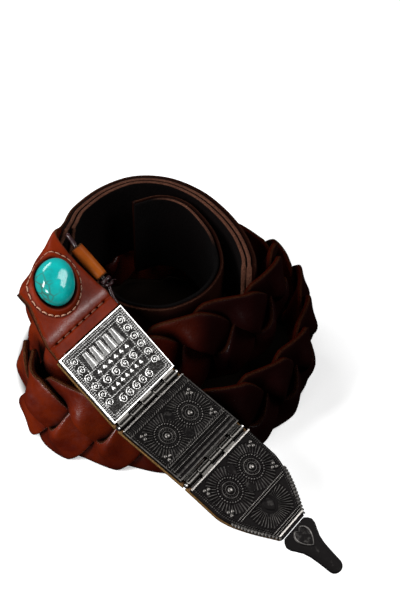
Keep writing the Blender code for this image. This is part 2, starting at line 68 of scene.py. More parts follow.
def unit_rows(rows):
    return rows / np.linalg.norm(rows, axis=1, keepdims=True)


def joint_place(name):
    return np.array(joints[name]["pos_m"]) / MM


HINGE_DEPTH = 1.9  # hinge axes below the plates' faces
TAB_DROP = 0.6  # the tab's leather, and its seam, below the faces of the plates
SEAM_RUN = -0.25  # the seam's place between the tab and the first plate
HINGE_GAP = 5.0  # between two plates
ACROSS = -unit(joints["tab_seam"]["axis"])  # towards the tab's back edge


def plate_direction(seam, hinge, seam_up, hinge_up):
    """The way a plate runs between two of its axes that lie at different depths under its face."""
    chord = hinge - seam
    chord = chord - ACROSS * (chord @ ACROSS)
    rise = hinge_up - seam_up
    run = math.sqrt(chord @ chord - rise * rise)
    square = np.cross(chord, ACROSS)
    return unit(chord * run - square * rise)


class PlateFrame:
    """Places points by run along a plate, side across it and height over its face."""

    def __init__(self, anchor, anchor_run, anchor_up, along):
        self.along = along
        self.up = np.cross(along, ACROSS)
        self.start = anchor - along * anchor_run - self.up * anchor_up

    def at(self, run, side, up):
        run, side, up = (np.asarray(part, float)[..., None] for part in (run, side, up))
        return self.start + self.along * run + ACROSS * side + self.up * up


seam = joint_place("tab_seam")
hinge_1 = joint_place("plate_hinge_1")
hinge_2 = joint_place("plate_hinge_2")
FIRST_ALONG = plate_direction(seam, hinge_1, -TAB_DROP, -HINGE_DEPTH)
SECOND_ALONG = plate_direction(hinge_1, hinge_2, -HINGE_DEPTH, -HINGE_DEPTH)
THIRD_TURN = 5.2  # degrees down from the second plate
THIRD_ALONG = np.array(Matrix.Rotation(math.radians(THIRD_TURN), 3, ACROSS) @ Vector(SECOND_ALONG))
first = PlateFrame(seam, SEAM_RUN, -TAB_DROP, FIRST_ALONG)
second = PlateFrame(hinge_1, -HINGE_GAP / 2, -HINGE_DEPTH, SECOND_ALONG)
third = PlateFrame(hinge_2, -HINGE_GAP / 2, -HINGE_DEPTH, THIRD_ALONG)
FIRST_LENGTH = 33.5
SECOND_LENGTH = 30.4
THIRD_LENGTH = 39.8
TIP_LENGTH = 24.7
PLATE_HALF = 19.0

# The coil is laid out about its own middle; this is the tab's edge there.
EDGE_IN_COIL = np.array((-24.5, -52.4, 68.9))
COIL_MIDDLE = first.start - EDGE_IN_COIL

# Centre lines laid out from the coil's middle: x, y and the height of the band's lower edge. The strap's
# have its middle's height, and then the way its width points: it stands upright and leans over to the tab.
BRAID_STATIONS = (
    (-54, -24, 1), (-49, -45, 0), (-24, -57, 0), (6, -61, 0), (36, -51, 0), (59, -26, 0),
    (66, 4, 0), (59, 38, 0), (35, 60, 0), (0, 71, 1), (-37, 55, 3), (-52, 19, 6),
    (-49, -14, 8), (-38, -36, 10), (-14, -43, 13), (8, -35, 19), (26, -28.5, 24), (41, -21.5, 26),
    (49.5, -8, 28), (53, 8, 29),
)
STRAP_STATIONS = (
    (44.5, -9, 50, 0, 0, 1), (44, 0, 50, 0, 0, 1), (40, 16, 50, 0, 0, 1), (32, 33, 50, 0, 0, 1),
    (20.5, 48.5, 50, 0, 0, 1), (5, 59, 50, 0, 0, 1), (-12, 60, 50, 0, 0, 1), (-27, 49, 51, 0, 0, 1),
    (-38, 32, 52, 0, 0, 1),
    (-42.5, 12, 56, 0.08, 0.15, 1), (-45, -8, 68, 0.25, 0.45, 0.86), (-46.5, -22, 80, 0.38, 0.68, 0.6),
    (-48, -31.5, 87.5, 0.43, 0.86, 0.34),
)
END_STATIONS = ((-24, -6, 22), (-13, -22, 22), (5, -27, 23), (20, -19.5, 25), (27.5, -5, 27), (26.3, 12, 28),
                (21.5, 26.5, 28), (12.5, 40, 29), (1.5, 45, 29), (-10.5, 40, 29))

BRAID_WIDTH = 40.0
STRIP_WIDTH = 14.0
STRIP_SPREAD = 1.28  # the padded hide stands wider than its flat strip
BRAID_PERIOD = 66.0
STRAP_HALF = 19.0
STRAP_LAYER = 2.0
LAYER_GAP = 0.3
TAB_FLAT = 31.0  # length of the tab's flat part
FOLD_RUN = 40.0  # the fold, back from the first plate
TAB_HALVES = (12.5, 17.0)  # half-widths of the tab at the stone, front and back
FOLD_NARROWS = 6.0  # how much of its front edge the strap loses at the fold
STONE_RUN = 24.0  # the stone, back from the first plate
STONE_SIDE = 1.9
STONE_TURN = math.radians(135.0)  # its long axis, from the tab's
STONE_HALVES = (10.3, 8.6)
HEM_RUN = -5.5  # the row of stitches beside the first plate


# ---- meshes ----

def add_piece(name, points, faces, look, body, nodes, slot, marks=None):
    """A smooth-shaded piece from points in millimetres; marks are named numbers at each point."""
    mesh = bpy.data.meshes.new(name)
    mesh.from_pydata((np.asarray(points) * MM).tolist(), [], [list(face) for face in faces])
    mesh.update()
    mesh.polygons.foreach_set("use_smooth", [True] * len(mesh.polygons))
    for label, values in (marks or {}).items():
        layer = mesh.attributes.new(label, "FLOAT", "POINT")
        layer.data.foreach_set("value", np.asarray(values, np.float32).ravel())
    mesh.materials.append(look)
    piece = bpy.data.objects.new(name, mesh)
    bpy.context.scene.collection.objects.link(piece)
    if body:
        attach(piece, body)
    if nodes:
        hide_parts(*nodes)
    return piece


def join_parts(parts):
    """One list of points and one of faces from several (points, faces)."""
    points, faces, base = [], [], 0
    for part_points, part_faces in parts:
        points.append(np.asarray(part_points))
        faces += [tuple(base + index for index in face) for face in part_faces]
        base += len(part_points)
    return np.vstack(points), faces


def sheet_faces(rows, columns):
    """Faces of a closed body whose upper grid is followed by a lower grid of the same size."""
    under = rows * columns
    faces = []
    for i in range(rows - 1):
        for j in range(columns - 1):
            a = i * columns + j
            b, c, d = a + 1, a + columns + 1, a + columns
            faces.append((a, d, c, b))
            faces.append((under + a, under + b, under + c, under + d))
    ring = [i * columns for i in range(rows)]
    ring += [(rows - 1) * columns + j for j in range(1, columns)]
    ring += [i * columns + columns - 1 for i in range(rows - 2, -1, -1)]
    ring += list(range(columns - 2, 0, -1))
    for a, b in zip(ring, ring[1:] + ring[:1]):
        faces.append((b, a, under + a, under + b))
    return faces


def ring_faces(rings, count, closed=False):
    """Faces between rings of points that follow one another, and from the last to the first if closed."""
    faces = []
    for i in range(rings if closed else rings - 1):
        onward = (i + 1) % rings
        for j in range(count):
            k = (j + 1) % count
            faces.append((i * count + j, i * count + k, onward * count + k, onward * count + j))
    return faces


def outward_faces(points, faces):
    """The same faces, turned round if they enclose a negative volume."""
    points = np.asarray(points)
    total = 0.0
    for size in {len(face) for face in faces}:
        corner = points[np.array([face for face in faces if len(face) == size])]
        for k in range(1, size - 1):
            total += np.einsum("ij,ij->", corner[:, 0], np.cross(corner[:, k], corner[:, k + 1]))
    return faces if total > 0 else [tuple(reversed(face)) for face in faces]


def two_sided(upper, lower):
    """Points and faces of the closed body between two grids of points."""
    points = np.concatenate([upper.reshape(-1, 3), lower.reshape(-1, 3)])
    return points, outward_faces(points, sheet_faces(*upper.shape[:2]))


def add_sheet(name, upper, lower, edge, look, body, nodes, slot, marks=None, ends=1.0):
    """A leather layer between two grids; edge and ends tell how near its columns and rows are to a cut.

    Marks hold numbers for the upper grid, or for both grids.
    """
    shape = upper.shape[:2]
    points, faces = two_sided(upper, lower)
    near = np.broadcast_to(edge, shape).copy()
    near[0] = near[-1] = ends
    every = {"edge": np.tile(near.ravel(), 2), "under": np.repeat([0.0, 1.0], near.size)}
    for label, values in (marks or {}).items():
        every[label] = np.zeros(2 * near.size)
        every[label][:np.size(values)] = np.ravel(values)
    return add_piece(name, points, faces, look, body, nodes, slot, every)


TUBE_END = 0.6  # how far a tube's end stands out, as a share of its radius


def tube(path, radius, sides, reference):
    """Points and faces of a round-ended tube along a path."""
    path = np.asarray(path, float)
    count = len(path)
    radius = np.broadcast_to(radius, count)
    tangent = unit_rows(np.gradient(path, axis=0))
    across = unit_rows(np.cross(tangent, reference))
    rise = np.cross(across, tangent)
    turns = 2 * np.pi * np.arange(sides) / sides
    ring = across[:, None] * np.cos(turns)[:, None] + rise[:, None] * np.sin(turns)[:, None]
    points = (path[:, None] + ring * radius[:, None, None]).reshape(-1, 3)
    caps = TUBE_END * radius
    poles = [path[0] - tangent[0] * caps[0], path[-1] + tangent[-1] * caps[-1]]
    faces = ring_faces(count, sides)
    pole = count * sides
    last = pole - sides
    for j in range(sides):
        k = (j + 1) % sides
        faces.append((pole, k, j))
        faces.append((pole + 1, last + j, last + k))
    points = np.vstack([points, poles])
    return points, outward_faces(points, faces)


# ---- curves ----

SPLINE_STEPS = 24  # between two stations


def spline(stations, step):
    """Points about every step mm on the smooth curve through the stations, its tangents and its run."""
    nodes = np.array(stations, float)
    nodes = np.vstack([2 * nodes[0] - nodes[1], nodes, 2 * nodes[-1] - nodes[-2]])
    dense = []
    for i in range(1, len(nodes) - 2):
        a, b, c, d = nodes[i - 1:i + 3]
        for t in np.linspace(0, 1, SPLINE_STEPS, endpoint=False):
            dense.append(0.5 * (2 * b + (c - a) * t + (2 * a - 5 * b + 4 * c - d) * t**2
                                + (3 * b - a - 3 * c + d) * t**3))
    dense = np.array(dense + [nodes[-2]])
    run = np.concatenate([[0], np.cumsum(np.linalg.norm(np.diff(dense[:, :3], axis=0), axis=1))])
    wanted = np.linspace(0, run[-1], max(int(round(run[-1] / step)), 2) + 1)
    points = np.stack([np.interp(wanted, run, column) for column in dense.T], axis=1)
    return points, unit_rows(np.gradient(points[:, :3], wanted, axis=0)), wanted


def upright_frames(stations, step, lift):
    """Centre points, width directions and outward normals of a band that stands on its edge."""
    points, tangents, _ = spline(stations, step)
    points = points + COIL_MIDDLE + (0, 0, lift)
    flat = unit_rows(tangents * (1, 1, 0))
    outward = np.stack([flat[:, 1], -flat[:, 0], 0 * flat[:, 0]], axis=1)
    width = np.cross(outward, tangents)
    return points, unit_rows(width * np.sign(width[:, 2:3])), outward


class StrapSurface:
    """The strap's outer face: points by run from the tab's edge (negative back along it), side and height."""

    def __init__(self):
        flat = []
        for share in (1, 0.93, 0.7, 0.35, 0):
            flat.append((*(EDGE_IN_COIL - FIRST_ALONG * TAB_FLAT * share), *ACROSS))
        points, tangent, run = spline(STRAP_STATIONS + tuple(flat), 1.0)
        self.centre = points[:, :3] + COIL_MIDDLE
        self.width = unit_rows(points[:, 3:])
        self.normal = unit_rows(np.cross(tangent, self.width))
        self.run = run - run[-1]

    def at(self, run, side, up):
        run = np.asarray(run, float)
        rows = []
        for part in (self.centre, self.width, self.normal):
            rows.append(np.stack([np.interp(run, self.run, part[:, k]) for k in range(3)], axis=-1))
        side, up = np.asarray(side, float), np.asarray(up, float)
        return rows[0] + rows[1] * side[..., None] + rows[2] * (up - TAB_DROP)[..., None]


surface = StrapSurface()


# ---- materials ----

def plug(socket, value):
    """Wires an input to another node, or sets it to a number, a vector or a colour."""
    if isinstance(value, bpy.types.NodeSocket):
        socket.id_data.links.new(value, socket)
    elif socket.type == "RGBA":
        socket.default_value = (*value, 1.0)
    else:
        socket.default_value = value


def new_look(name):
    """A material, a function that adds a node with its inputs, and one that feeds the Principled shader."""
    look = bpy.data.materials.new(name)
    look.use_nodes = True
    shader = look.node_tree.nodes["Principled BSDF"]

    def node(kind, settings=None, **inputs):
        made = look.node_tree.nodes.new(kind)
        for key, value in (settings or {}).items():
            setattr(made, key, value)
        for key, value in inputs.items():
            plug(made.inputs[key.replace("_", " ")], value)
        return made

    def feed(**inputs):
        for key, value in inputs.items():
            plug(shader.inputs[key.replace("_", " ")], value)

    return look, node, feed


def place_of(node):
    return node("ShaderNodeTexCoord").outputs["Object"]


def mark(node, name):
    return node("ShaderNodeAttribute", {"attribute_name": name}).outputs["Fac"]


def noise(node, scale, detail=4.0, roughness=0.55, stretch=None):
    """Noise over the object; scale is in lumps per metre."""
    where = place_of(node)
    if stretch:
        where = node("ShaderNodeMapping", Vector=where, Scale=stretch).outputs["Vector"]
    made = node("ShaderNodeTexNoise", Vector=where, Scale=scale, Detail=detail, Roughness=roughness)
    return made.outputs["Fac"]


def cells(node, scale, feature="F1"):
    made = node("ShaderNodeTexVoronoi", {"feature": feature}, Vector=place_of(node), Scale=scale)
    return made.outputs["Distance"]


def spread(node, value, low, high, to_low=0.0, to_high=1.0):
    """The value, stretched from one range to another and held inside it."""
    made = node("ShaderNodeMapRange", {"clamp": True}, Value=value, From_Min=low, From_Max=high,
                To_Min=to_low, To_Max=to_high)
    return made.outputs["Result"]


def combine(node, operation, a, b):
    made = node("ShaderNodeMath", {"operation": operation})
    plug(made.inputs[0], a)
    plug(made.inputs[1], b)
    return made.outputs[0]


def times(node, a, b):
    return combine(node, "MULTIPLY", a, b)


def plus(node, a, b):
    return combine(node, "ADD", a, b)


COLOUR_INPUTS = (0, 6, 7)  # the Mix node's factor and its two colours
COLOUR_OUTPUT = 2


def mix(node, factor, a, b):
    """A colour between a and b, each a colour or a socket."""
    made = node("ShaderNodeMix", {"data_type": "RGBA"})
    for index, value in zip(COLOUR_INPUTS, (factor, a, b)):
        plug(made.inputs[index], value)
    return made.outputs[COLOUR_OUTPUT]


def openness(node, distance, low, high):
    """1 where light reaches a surface freely, 0 deep in a crevice."""
    made = node("ShaderNodeAmbientOcclusion", {"samples": 8}, Distance=distance)
    return spread(node, made.outputs["AO"], low, high)


def bump(node, height, distance, strength, after=None):
    made = node("ShaderNodeBump", Height=height, Distance=distance, Strength=strength)
    if after:
        plug(made.inputs["Normal"], after)
    return made.outputs["Normal"]


# Painted shade: where the leather darkens from left to right, along X in metres, for the side away from the
# light, and the colours of the painted shade
DARKEN_FROM = -0.050
DARKEN_TO = 0.015
SIDE_SHADE_COLOUR = (0.006, 0.001, 0.001)
PAINTED_SHADE_COLOUR = (0.010, 0.003, 0.002)
CREVICE_SHADE_COLOUR = (0.004, 0.001, 0.001)


def dimmed(colour, share):
    return tuple(share * part for part in colour)


def leather(name, light, deep, edge_colour, darken=1.0, gloss=0.42, sheen=0.38):
    """Glazed hide: mottled dye, fine grain, rough brown cut edges, and painted shade: darker to the right,
    along the painted-shade mark and in crevices.
    """
    look, node, feed = new_look(name)
    mottle = spread(node, noise(node, 60.0, 5.0), 0.35, 0.68)
    fine = spread(node, noise(node, 420.0, 3.0), 0.3, 0.75)
    colour = mix(node, mottle, deep, light)
    colour = mix(node, times(node, fine, 0.22), colour, deep)
    # painted shade: colour and cut edges darken towards +X, the side turned away from the light
    along_x = node("ShaderNodeSeparateXYZ", Vector=place_of(node)).outputs["X"]
    dark = spread(node, along_x, DARKEN_FROM, DARKEN_TO, 0.0, darken)
    colour = mix(node, dark, colour, SIDE_SHADE_COLOUR)
    # painted shade wherever the piece's painted-shade mark is set
    crease = mark(node, "crease")
    colour = mix(node, crease, colour, PAINTED_SHADE_COLOUR)

    rough = spread(node, noise(node, 900.0, 5.0, 0.7), 0.35, 0.7)
    raw = mix(node, rough, dimmed(edge_colour, 0.35), edge_colour)
    raw = mix(node, times(node, dark, 0.75), raw, SIDE_SHADE_COLOUR)
    cut = spread(node, plus(node, mark(node, "edge"), times(node, rough, 0.25)), 0.45, 0.85)
    colour = mix(node, cut, colour, raw)
    flesh = spread(node, mark(node, "under"), 0.4, 0.6)
    colour = mix(node, times(node, flesh, 0.8), colour, dimmed(deep, 0.3))
    # painted shade in crevices, found by ambient occlusion
    colour = mix(node, openness(node, 0.009, 0.25, 0.80), CREVICE_SHADE_COLOUR, colour)

    grain = bump(node, cells(node, 1400.0), 0.00012, 0.35)
    wrinkles = bump(node, noise(node, 160.0, 4.0, 0.6), 0.0009, 0.35, grain)
    fibres = bump(node, times(node, rough, cut), 0.0007, 0.8, wrinkles)
    roughness = plus(node, spread(node, fine, 0, 1, gloss - 0.08, gloss + 0.1), times(node, cut, 0.4))
    polish = times(node, mark(node, "polish"), 0.5)
    # painted shade also dulls the hide: specular and coat fall on the darkened side and along the
    # painted-shade mark
    shine = plus(node, polish, spread(node, dark, 0.0, 1.0, sheen, 0.15 * sheen))
    whole = spread(node, plus(node, crease, cut), 0.0, 1.0, 1.0, 0.0)
    coat = spread(node, plus(node, dark, cut), 0.0, 1.0, 0.3 * sheen, 0.0)
    feed(Base_Color=colour, Roughness=roughness, Normal=fibres, Coat_Roughness=0.25, Coat_Weight=coat,
         Specular_IOR_Level=times(node, whole, shine))
    return look


# near-black painted shade of the suede
SUEDE_SHADE_BLACK = (0.001, 0.0005, 0.0005)


def suede(name, light, deep):
    """Strap leather with a suede face painted near-black for the deep shade inside the coil, and paler cut
    edges whose fibres show.
    """
    look, node, feed = new_look(name)
    fibre = spread(node, noise(node, 1100.0, 6.0, 0.75), 0.3, 0.72)
    patch = spread(node, noise(node, 90.0, 4.0), 0.35, 0.7)
    colour = mix(node, fibre, deep, light)
    colour = mix(node, times(node, patch, 0.5), colour, deep)
    # painted shade: the face's near-black colours stand for the deep shade inside the coil
    face = mix(node, fibre, SUEDE_SHADE_BLACK, (0.0025, 0.001, 0.001))
    colour = mix(node, spread(node, mark(node, "edge"), 0.5, 0.9), face, colour)
    # painted shade wherever the piece's painted-shade mark is set
    colour = mix(node, mark(node, "crease"), colour, SUEDE_SHADE_BLACK)
    # painted shade in crevices, found by ambient occlusion
    colour = mix(node, openness(node, 0.008, 0.2, 0.7), (0.003, 0.001, 0.001), colour)
    feed(Base_Color=colour, Roughness=0.9, Normal=bump(node, fibre, 0.0006, 0.9), Specular_IOR_Level=0.06)
    return look


def silver(name, bright, patina, rough, low, high):
    """Cast silver: patina below the relief's low height, bright above its high one, fine scratches."""
    look, node, feed = new_look(name)
    stain = spread(node, noise(node, 500.0, 5.0, 0.65), 0.3, 0.7, -0.12, 0.12)
    rubbed = spread(node, plus(node, mark(node, "relief"), stain), low, high)
    tone = mix(node, spread(node, noise(node, 120.0, 3.0), 0.35, 0.7), dimmed(bright, 0.82), bright)
    scratches = noise(node, 700.0, 3.0, 0.6, stretch=(1.0, 6.0, 1.0))
    roughness = plus(node, spread(node, rubbed, 0, 1, 0.55, rough), spread(node, scratches, 0.3, 0.7, 0, 0.1))
    normal = bump(node, scratches, 0.00006, 0.4)
    normal = bump(node, noise(node, 2600.0, 2.0), 0.00005, 0.5, normal)
    feed(Base_Color=mix(node, rubbed, patina, tone), Metallic=1.0, Roughness=roughness, Normal=normal)
    return look


def turquoise():
    """Polished turquoise with brown-green matrix veins gathered on one side."""
    look, node, feed = new_look("turquoise_matrix")
    cloud = spread(node, noise(node, 130.0, 5.0, 0.6), 0.3, 0.7)
    colour = mix(node, cloud, (0.001, 0.28, 0.27), (0.004, 0.44, 0.42))
    pale = spread(node, noise(node, 420.0, 3.0), 0.62, 0.8)
    colour = mix(node, times(node, pale, 0.35), colour, (0.06, 0.50, 0.45))
    gathered = mark(node, "matrix")
    vein = times(node, spread(node, cells(node, 230.0, "DISTANCE_TO_EDGE"), 0.0, 0.09, 1.0, 0.0), gathered)
    colour = mix(node, times(node, gathered, 0.55), colour, (0.015, 0.12, 0.09))
    colour = mix(node, times(node, vein, 0.75), colour, (0.05, 0.035, 0.015))
    feed(Base_Color=colour, Roughness=0.14, Coat_Weight=0.25, Coat_Roughness=0.03, Specular_IOR_Level=0.35,
         Normal=bump(node, cloud, 0.0003, 0.25))
    return look


def thread_look(name, light, dark):
    """Twisted waxed thread."""
    look, node, feed = new_look(name)
    wave = node("ShaderNodeTexWave", {"bands_direction": "DIAGONAL"}, Vector=place_of(node), Scale=900.0,
                Distortion=2.0).outputs["Fac"]
    feed(Base_Color=mix(node, wave, dark, light), Roughness=0.65, Normal=bump(node, wave, 0.0002, 0.7))
    return look


def steel_look():
    look, node, feed = new_look("drawn_wire")
    lines = noise(node, 900.0, 3.0, 0.6, stretch=(0.2, 1.0, 1.0))
    feed(Base_Color=mix(node, lines, (0.28, 0.27, 0.26), (0.62, 0.61, 0.60)), Metallic=1.0,
         Roughness=spread(node, lines, 0.3, 0.7, 0.22, 0.4), Normal=bump(node, lines, 0.00005, 0.4))
    return look


COGNAC = leather("cognac_hide", (0.17, 0.017, 0.002), (0.07, 0.005, 0.001), (0.10, 0.034, 0.014), gloss=0.32,
                 sheen=0.62)
TAB_HIDE = leather("tab_hide", (0.21, 0.020, 0.003), (0.11, 0.010, 0.002), (0.12, 0.04, 0.018), darken=0.1,
                   sheen=0.04)
STRAP_HIDE = leather("strap_hide", (0.05, 0.012, 0.006), (0.02, 0.005, 0.003), (0.10, 0.042, 0.026),
                     gloss=0.5)
SUEDE = suede("strap_suede", (0.17, 0.070, 0.042), (0.04, 0.014, 0.009))
TAN = leather("tan_hide", (0.34, 0.08, 0.008), (0.20, 0.035, 0.004), (0.12, 0.05, 0.02), darken=0.2,
              sheen=0.05)
DARK_LACE = leather("lace_hide", (0.05, 0.018, 0.018), (0.02, 0.006, 0.008), (0.07, 0.03, 0.03), gloss=0.35)
BACKING = leather("backing_hide", (0.33, 0.17, 0.06), (0.20, 0.09, 0.03), (0.36, 0.20, 0.07), darken=0.3)
BRIGHT_SILVER = silver("bright_antique_silver", (0.86, 0.85, 0.83), (0.030, 0.028, 0.027), 0.30, 0.22, 0.62)
# painted shade: the first plate's silver darkened for the tilted second and third plates, tip and fringe,
# whose faces reflect darkness; the patina in the hollows is the metal's own
DARK_SILVER = silver("shade_darkened_silver", (0.25, 0.235, 0.22), (0.010, 0.009, 0.009), 0.28, 0.34, 0.98)
TURQUOISE = turquoise()
PALE_THREAD = thread_look("pale_thread", (0.62, 0.36, 0.24), (0.36, 0.15, 0.09))
BROWN_THREAD = thread_look("brown_thread", (0.22, 0.07, 0.03), (0.09, 0.02, 0.01))
STEEL = steel_look()
# painted shade: the knuckles' silver is darkened almost to black, for the shade in the gaps between the
# plates
KNUCKLE_SILVER = silver("hinge_silver", (0.055, 0.052, 0.048), (0.020, 0.018, 0.017), 0.20, 0.1, 0.4)


# ---- braid ----

STRANDS = 3
SWING = (BRAID_WIDTH - STRIP_WIDTH) / 2
SOLVE_STEPS = 18  # steps in a period and across a strand, where the heights are worked out
SOLVE_ACROSS = 4
LAYER_PITCH = 3.3
STRAND_REACH = 1.1  # how far past its own edge a strand still lifts another, in half-widths
SWEEPS = 400
SETTLING = 60  # last sweeps, without smoothing
FINE_STEPS = 54  # steps in a period in the finished strands
HIDE_THICK = 2.7
SMOOTH_WAVES = 5  # waves kept along a period: the padded hide can't follow sharper turns
LOBE_CROWN = 2.4  # how far a strand bulges where it lies on top
DEPTH_GROW = 1.1
EDGE_SLACK = 0.6  # how far the lobes stand past the band's edges
STRIP_COLUMNS = (-1, -0.985, -0.93, -0.84, -0.7, -0.5, -0.25, 0, 0.25, 0.5, 0.7, 0.84, 0.93, 0.985, 1)


def strand_shape(steps):
    """Middle and half-width of one strand at every step of its period."""
    turns = 2 * np.pi * np.arange(steps) / steps
    middle = SWING * np.sin(turns)
    slope = SWING * np.cos(turns) * 2 * np.pi / BRAID_PERIOD
    half = np.minimum(0.5 * STRIP_WIDTH * np.hypot(1, slope), 0.5 * BRAID_WIDTH - np.abs(middle))
    return middle, half


def smoothed(heights):
    padded = np.pad(heights, ((0, 0), (1, 1)), mode="edge")
    along = np.roll(heights, 1, 0) + np.roll(heights, -1, 0)
    return 0.7 * heights + 0.075 * (along + padded[:, :-2] + padded[:, 2:])


def part_strands(heights, middle, half, side):
    """Moves a strand's points away from the strand that crosses over it and from the one under it."""
    move = np.zeros_like(heights)
    count = np.zeros_like(heights)
    for i in range(SOLVE_STEPS):
        for way in (1, -1):
            other = (i + way * SOLVE_STEPS // STRANDS) % SOLVE_STEPS
            for j in range(SOLVE_ACROSS + 1):
                there = (side[i, j] - middle[other]) / half[other]
                if abs(there) > STRAND_REACH:
                    continue
                place = min(max((there + 1) / 2 * SOLVE_ACROSS, 0), SOLVE_ACROSS)
                k = min(int(place), SOLVE_ACROSS - 1)
                level = (1 - place + k) * heights[other, k] + (place - k) * heights[other, k + 1]
                short = LAYER_PITCH - way * (level - heights[i, j])
                if short > 0:
                    for row, column, sign in ((i, j, -way), (other, k, way), (other, k + 1, way)):
                        move[row, column] += sign * short / 2
                        count[row, column] += 1
    return heights + move / np.maximum(count, 1)


def strand_heights():
    """Height of one strand over its period: each strand lies over the one a third of a period behind."""
    middle, half = strand_shape(SOLVE_STEPS)
    side = middle[:, None] + half[:, None] * np.linspace(-1, 1, SOLVE_ACROSS + 1)
    turns = 2 * np.pi * np.arange(SOLVE_STEPS) / SOLVE_STEPS
    heights = np.repeat(-2 * np.sin(2 * turns)[:, None], SOLVE_ACROSS + 1, axis=1)
    for sweep in range(SWEEPS):
        if sweep < SWEEPS - SETTLING:
            heights = smoothed(heights)
        for _ in range(3):
            heights = part_strands(heights, middle, half, side)
    return heights - (heights.min() + heights.max()) / 2


def refined(heights, shares):
    """The heights on a finer grid: a Fourier series along the period, straight lines softened across."""
    waves = np.fft.rfft(heights, axis=0)[:SMOOTH_WAVES + 1]
    full = np.zeros((FINE_STEPS // 2 + 1, heights.shape[1]), complex)
    full[:len(waves)] = waves
    along = np.fft.irfft(full, FINE_STEPS, axis=0) * FINE_STEPS / SOLVE_STEPS
    known = np.linspace(-1, 1, SOLVE_ACROSS + 1)
    return np.stack([np.polyval(np.polyfit(known, row, 3), shares) for row in along])


def build_braid():
    """Three padded strands that pass over and under each other, with shade painted where they dive."""
    points, width, outward = upright_frames(BRAID_STATIONS, BRAID_PERIOD / FINE_STEPS, BRAID_WIDTH / 2)
    shares = np.array(STRIP_COLUMNS, float)
    middle, half = strand_shape(FINE_STEPS)
    half = np.minimum(half * STRIP_SPREAD, BRAID_WIDTH / 2 + EDGE_SLACK - np.abs(middle))
    heights = refined(strand_heights(), shares) * DEPTH_GROW
    top = heights.max()
    edge = np.interp(np.abs(shares), (0.9, 0.985, 1.0), (0.0, 0.55, 1.0))
    rounding = HIDE_THICK / 2 * np.interp(np.abs(shares), (0.8, 0.93, 0.985, 1.0), (0.0, 0.10, 0.28, 0.42))
    crown = LOBE_CROWN * (1 - shares**2)
    for k, letter in enumerate("abc"):
        rows = (np.arange(len(points)) + k * FINE_STEPS // STRANDS) % FINE_STEPS
        height = heights[rows]
        reach = middle[rows][:, None] + half[rows][:, None] * shares
        centre = points[:, None] + width[:, None] * reach[..., None]
        over, below = (np.clip(way * height / top, 0, 1) * crown for way in (1, -1))
        upper = height + HIDE_THICK / 2 - rounding + over
        lower = height - HIDE_THICK / 2 + rounding - below
        # painted shade: darker where a strand lies low, under the others
        deep = 0.6 * np.clip(0.15 - height / top, 0, 1) ** 1.5
        name = "braid_strand_" + letter
        add_sheet(name + "_hide", centre + outward[:, None] * upper[..., None],
                  centre + outward[:, None] * lower[..., None], edge, COGNAC, "coil", (name,),
                  "cognac_leather", {"crease": deep})


# ---- straps and tab ----

STRAP_COLUMNS = (-1, -0.985, -0.95, -0.85, -0.6, -0.3, 0, 0.3, 0.6, 0.85, 0.95, 0.985, 1)
TAB_COLUMNS = np.concatenate([[-1, -0.985, -0.95], np.linspace(-0.9, 0.9, 73), [0.95, 0.985, 1]])
STRAP_STEP = 2.0
JOIN_RUN = -50.0  # where the strap's layers end and the tab's leather starts
LINING_END = -80.0  # where the strap's inner layer ends
END_THICK = 1.85  # each layer of the belt's other end
HEM_BULGE_OFF = 3.4  # the polished swelling beside the hem


def edge_shape(shares, thick):
    """Nearness to the cut edge and how far each face is rounded there."""
    shares = np.abs(np.asarray(shares, float))
    edge = np.interp(shares, (0.9, 0.985, 1.0), (0.0, 0.5, 1.0))
    rounding = thick / 2 * np.interp(shares, (0.9, 0.95, 0.985, 1.0), (0.0, 0.08, 0.25, 0.40))
    return edge, rounding


def tab_halves(run):
    """Half-widths in front and behind: the strap narrows to the tab's stone and widens to the first plate."""
    pinch = np.interp(run, (-90, -FOLD_RUN - 5, -STONE_RUN, -8, 0), (0, 1, 1, 0.1, 0))
    front, back = (STRAP_HALF - (STRAP_HALF - narrow) * pinch for narrow in TAB_HALVES)
    tuck = np.interp(run, (-110, -FOLD_RUN - 8, -FOLD_RUN - 3, -28), (0, 1, 0.6, 0))
    return front - FOLD_NARROWS * tuck * tuck * (3 - 2 * tuck), back


def strap_sheet(name, runs, high, thick, look, body, nodes, slot, columns=STRAP_COLUMNS, relief=None):
    """One layer of the strap between two runs, its outer face at height high."""
    shares = np.array(columns, float)
    front, back = tab_halves(runs)
    side = np.where(shares < 0, front[:, None] * shares, back[:, None] * shares)
    edge, rounding = edge_shape(shares, thick)
    run = np.broadcast_to(runs[:, None], side.shape)
    marks, lift = {}, 0 * side
    if relief:
        # the relief gives the height and the painted shade of grooves and holes
        lift, marks["crease"] = relief(run, side)
        marks["polish"] = bell(run - HEM_RUN + HEM_BULGE_OFF, 1.7)
    upper = surface.at(run, side, high - rounding + lift)
    lower = surface.at(run, side, high - thick + rounding + 0 * side)
    return add_sheet(name, upper, lower, edge, look, body, nodes, slot, marks)


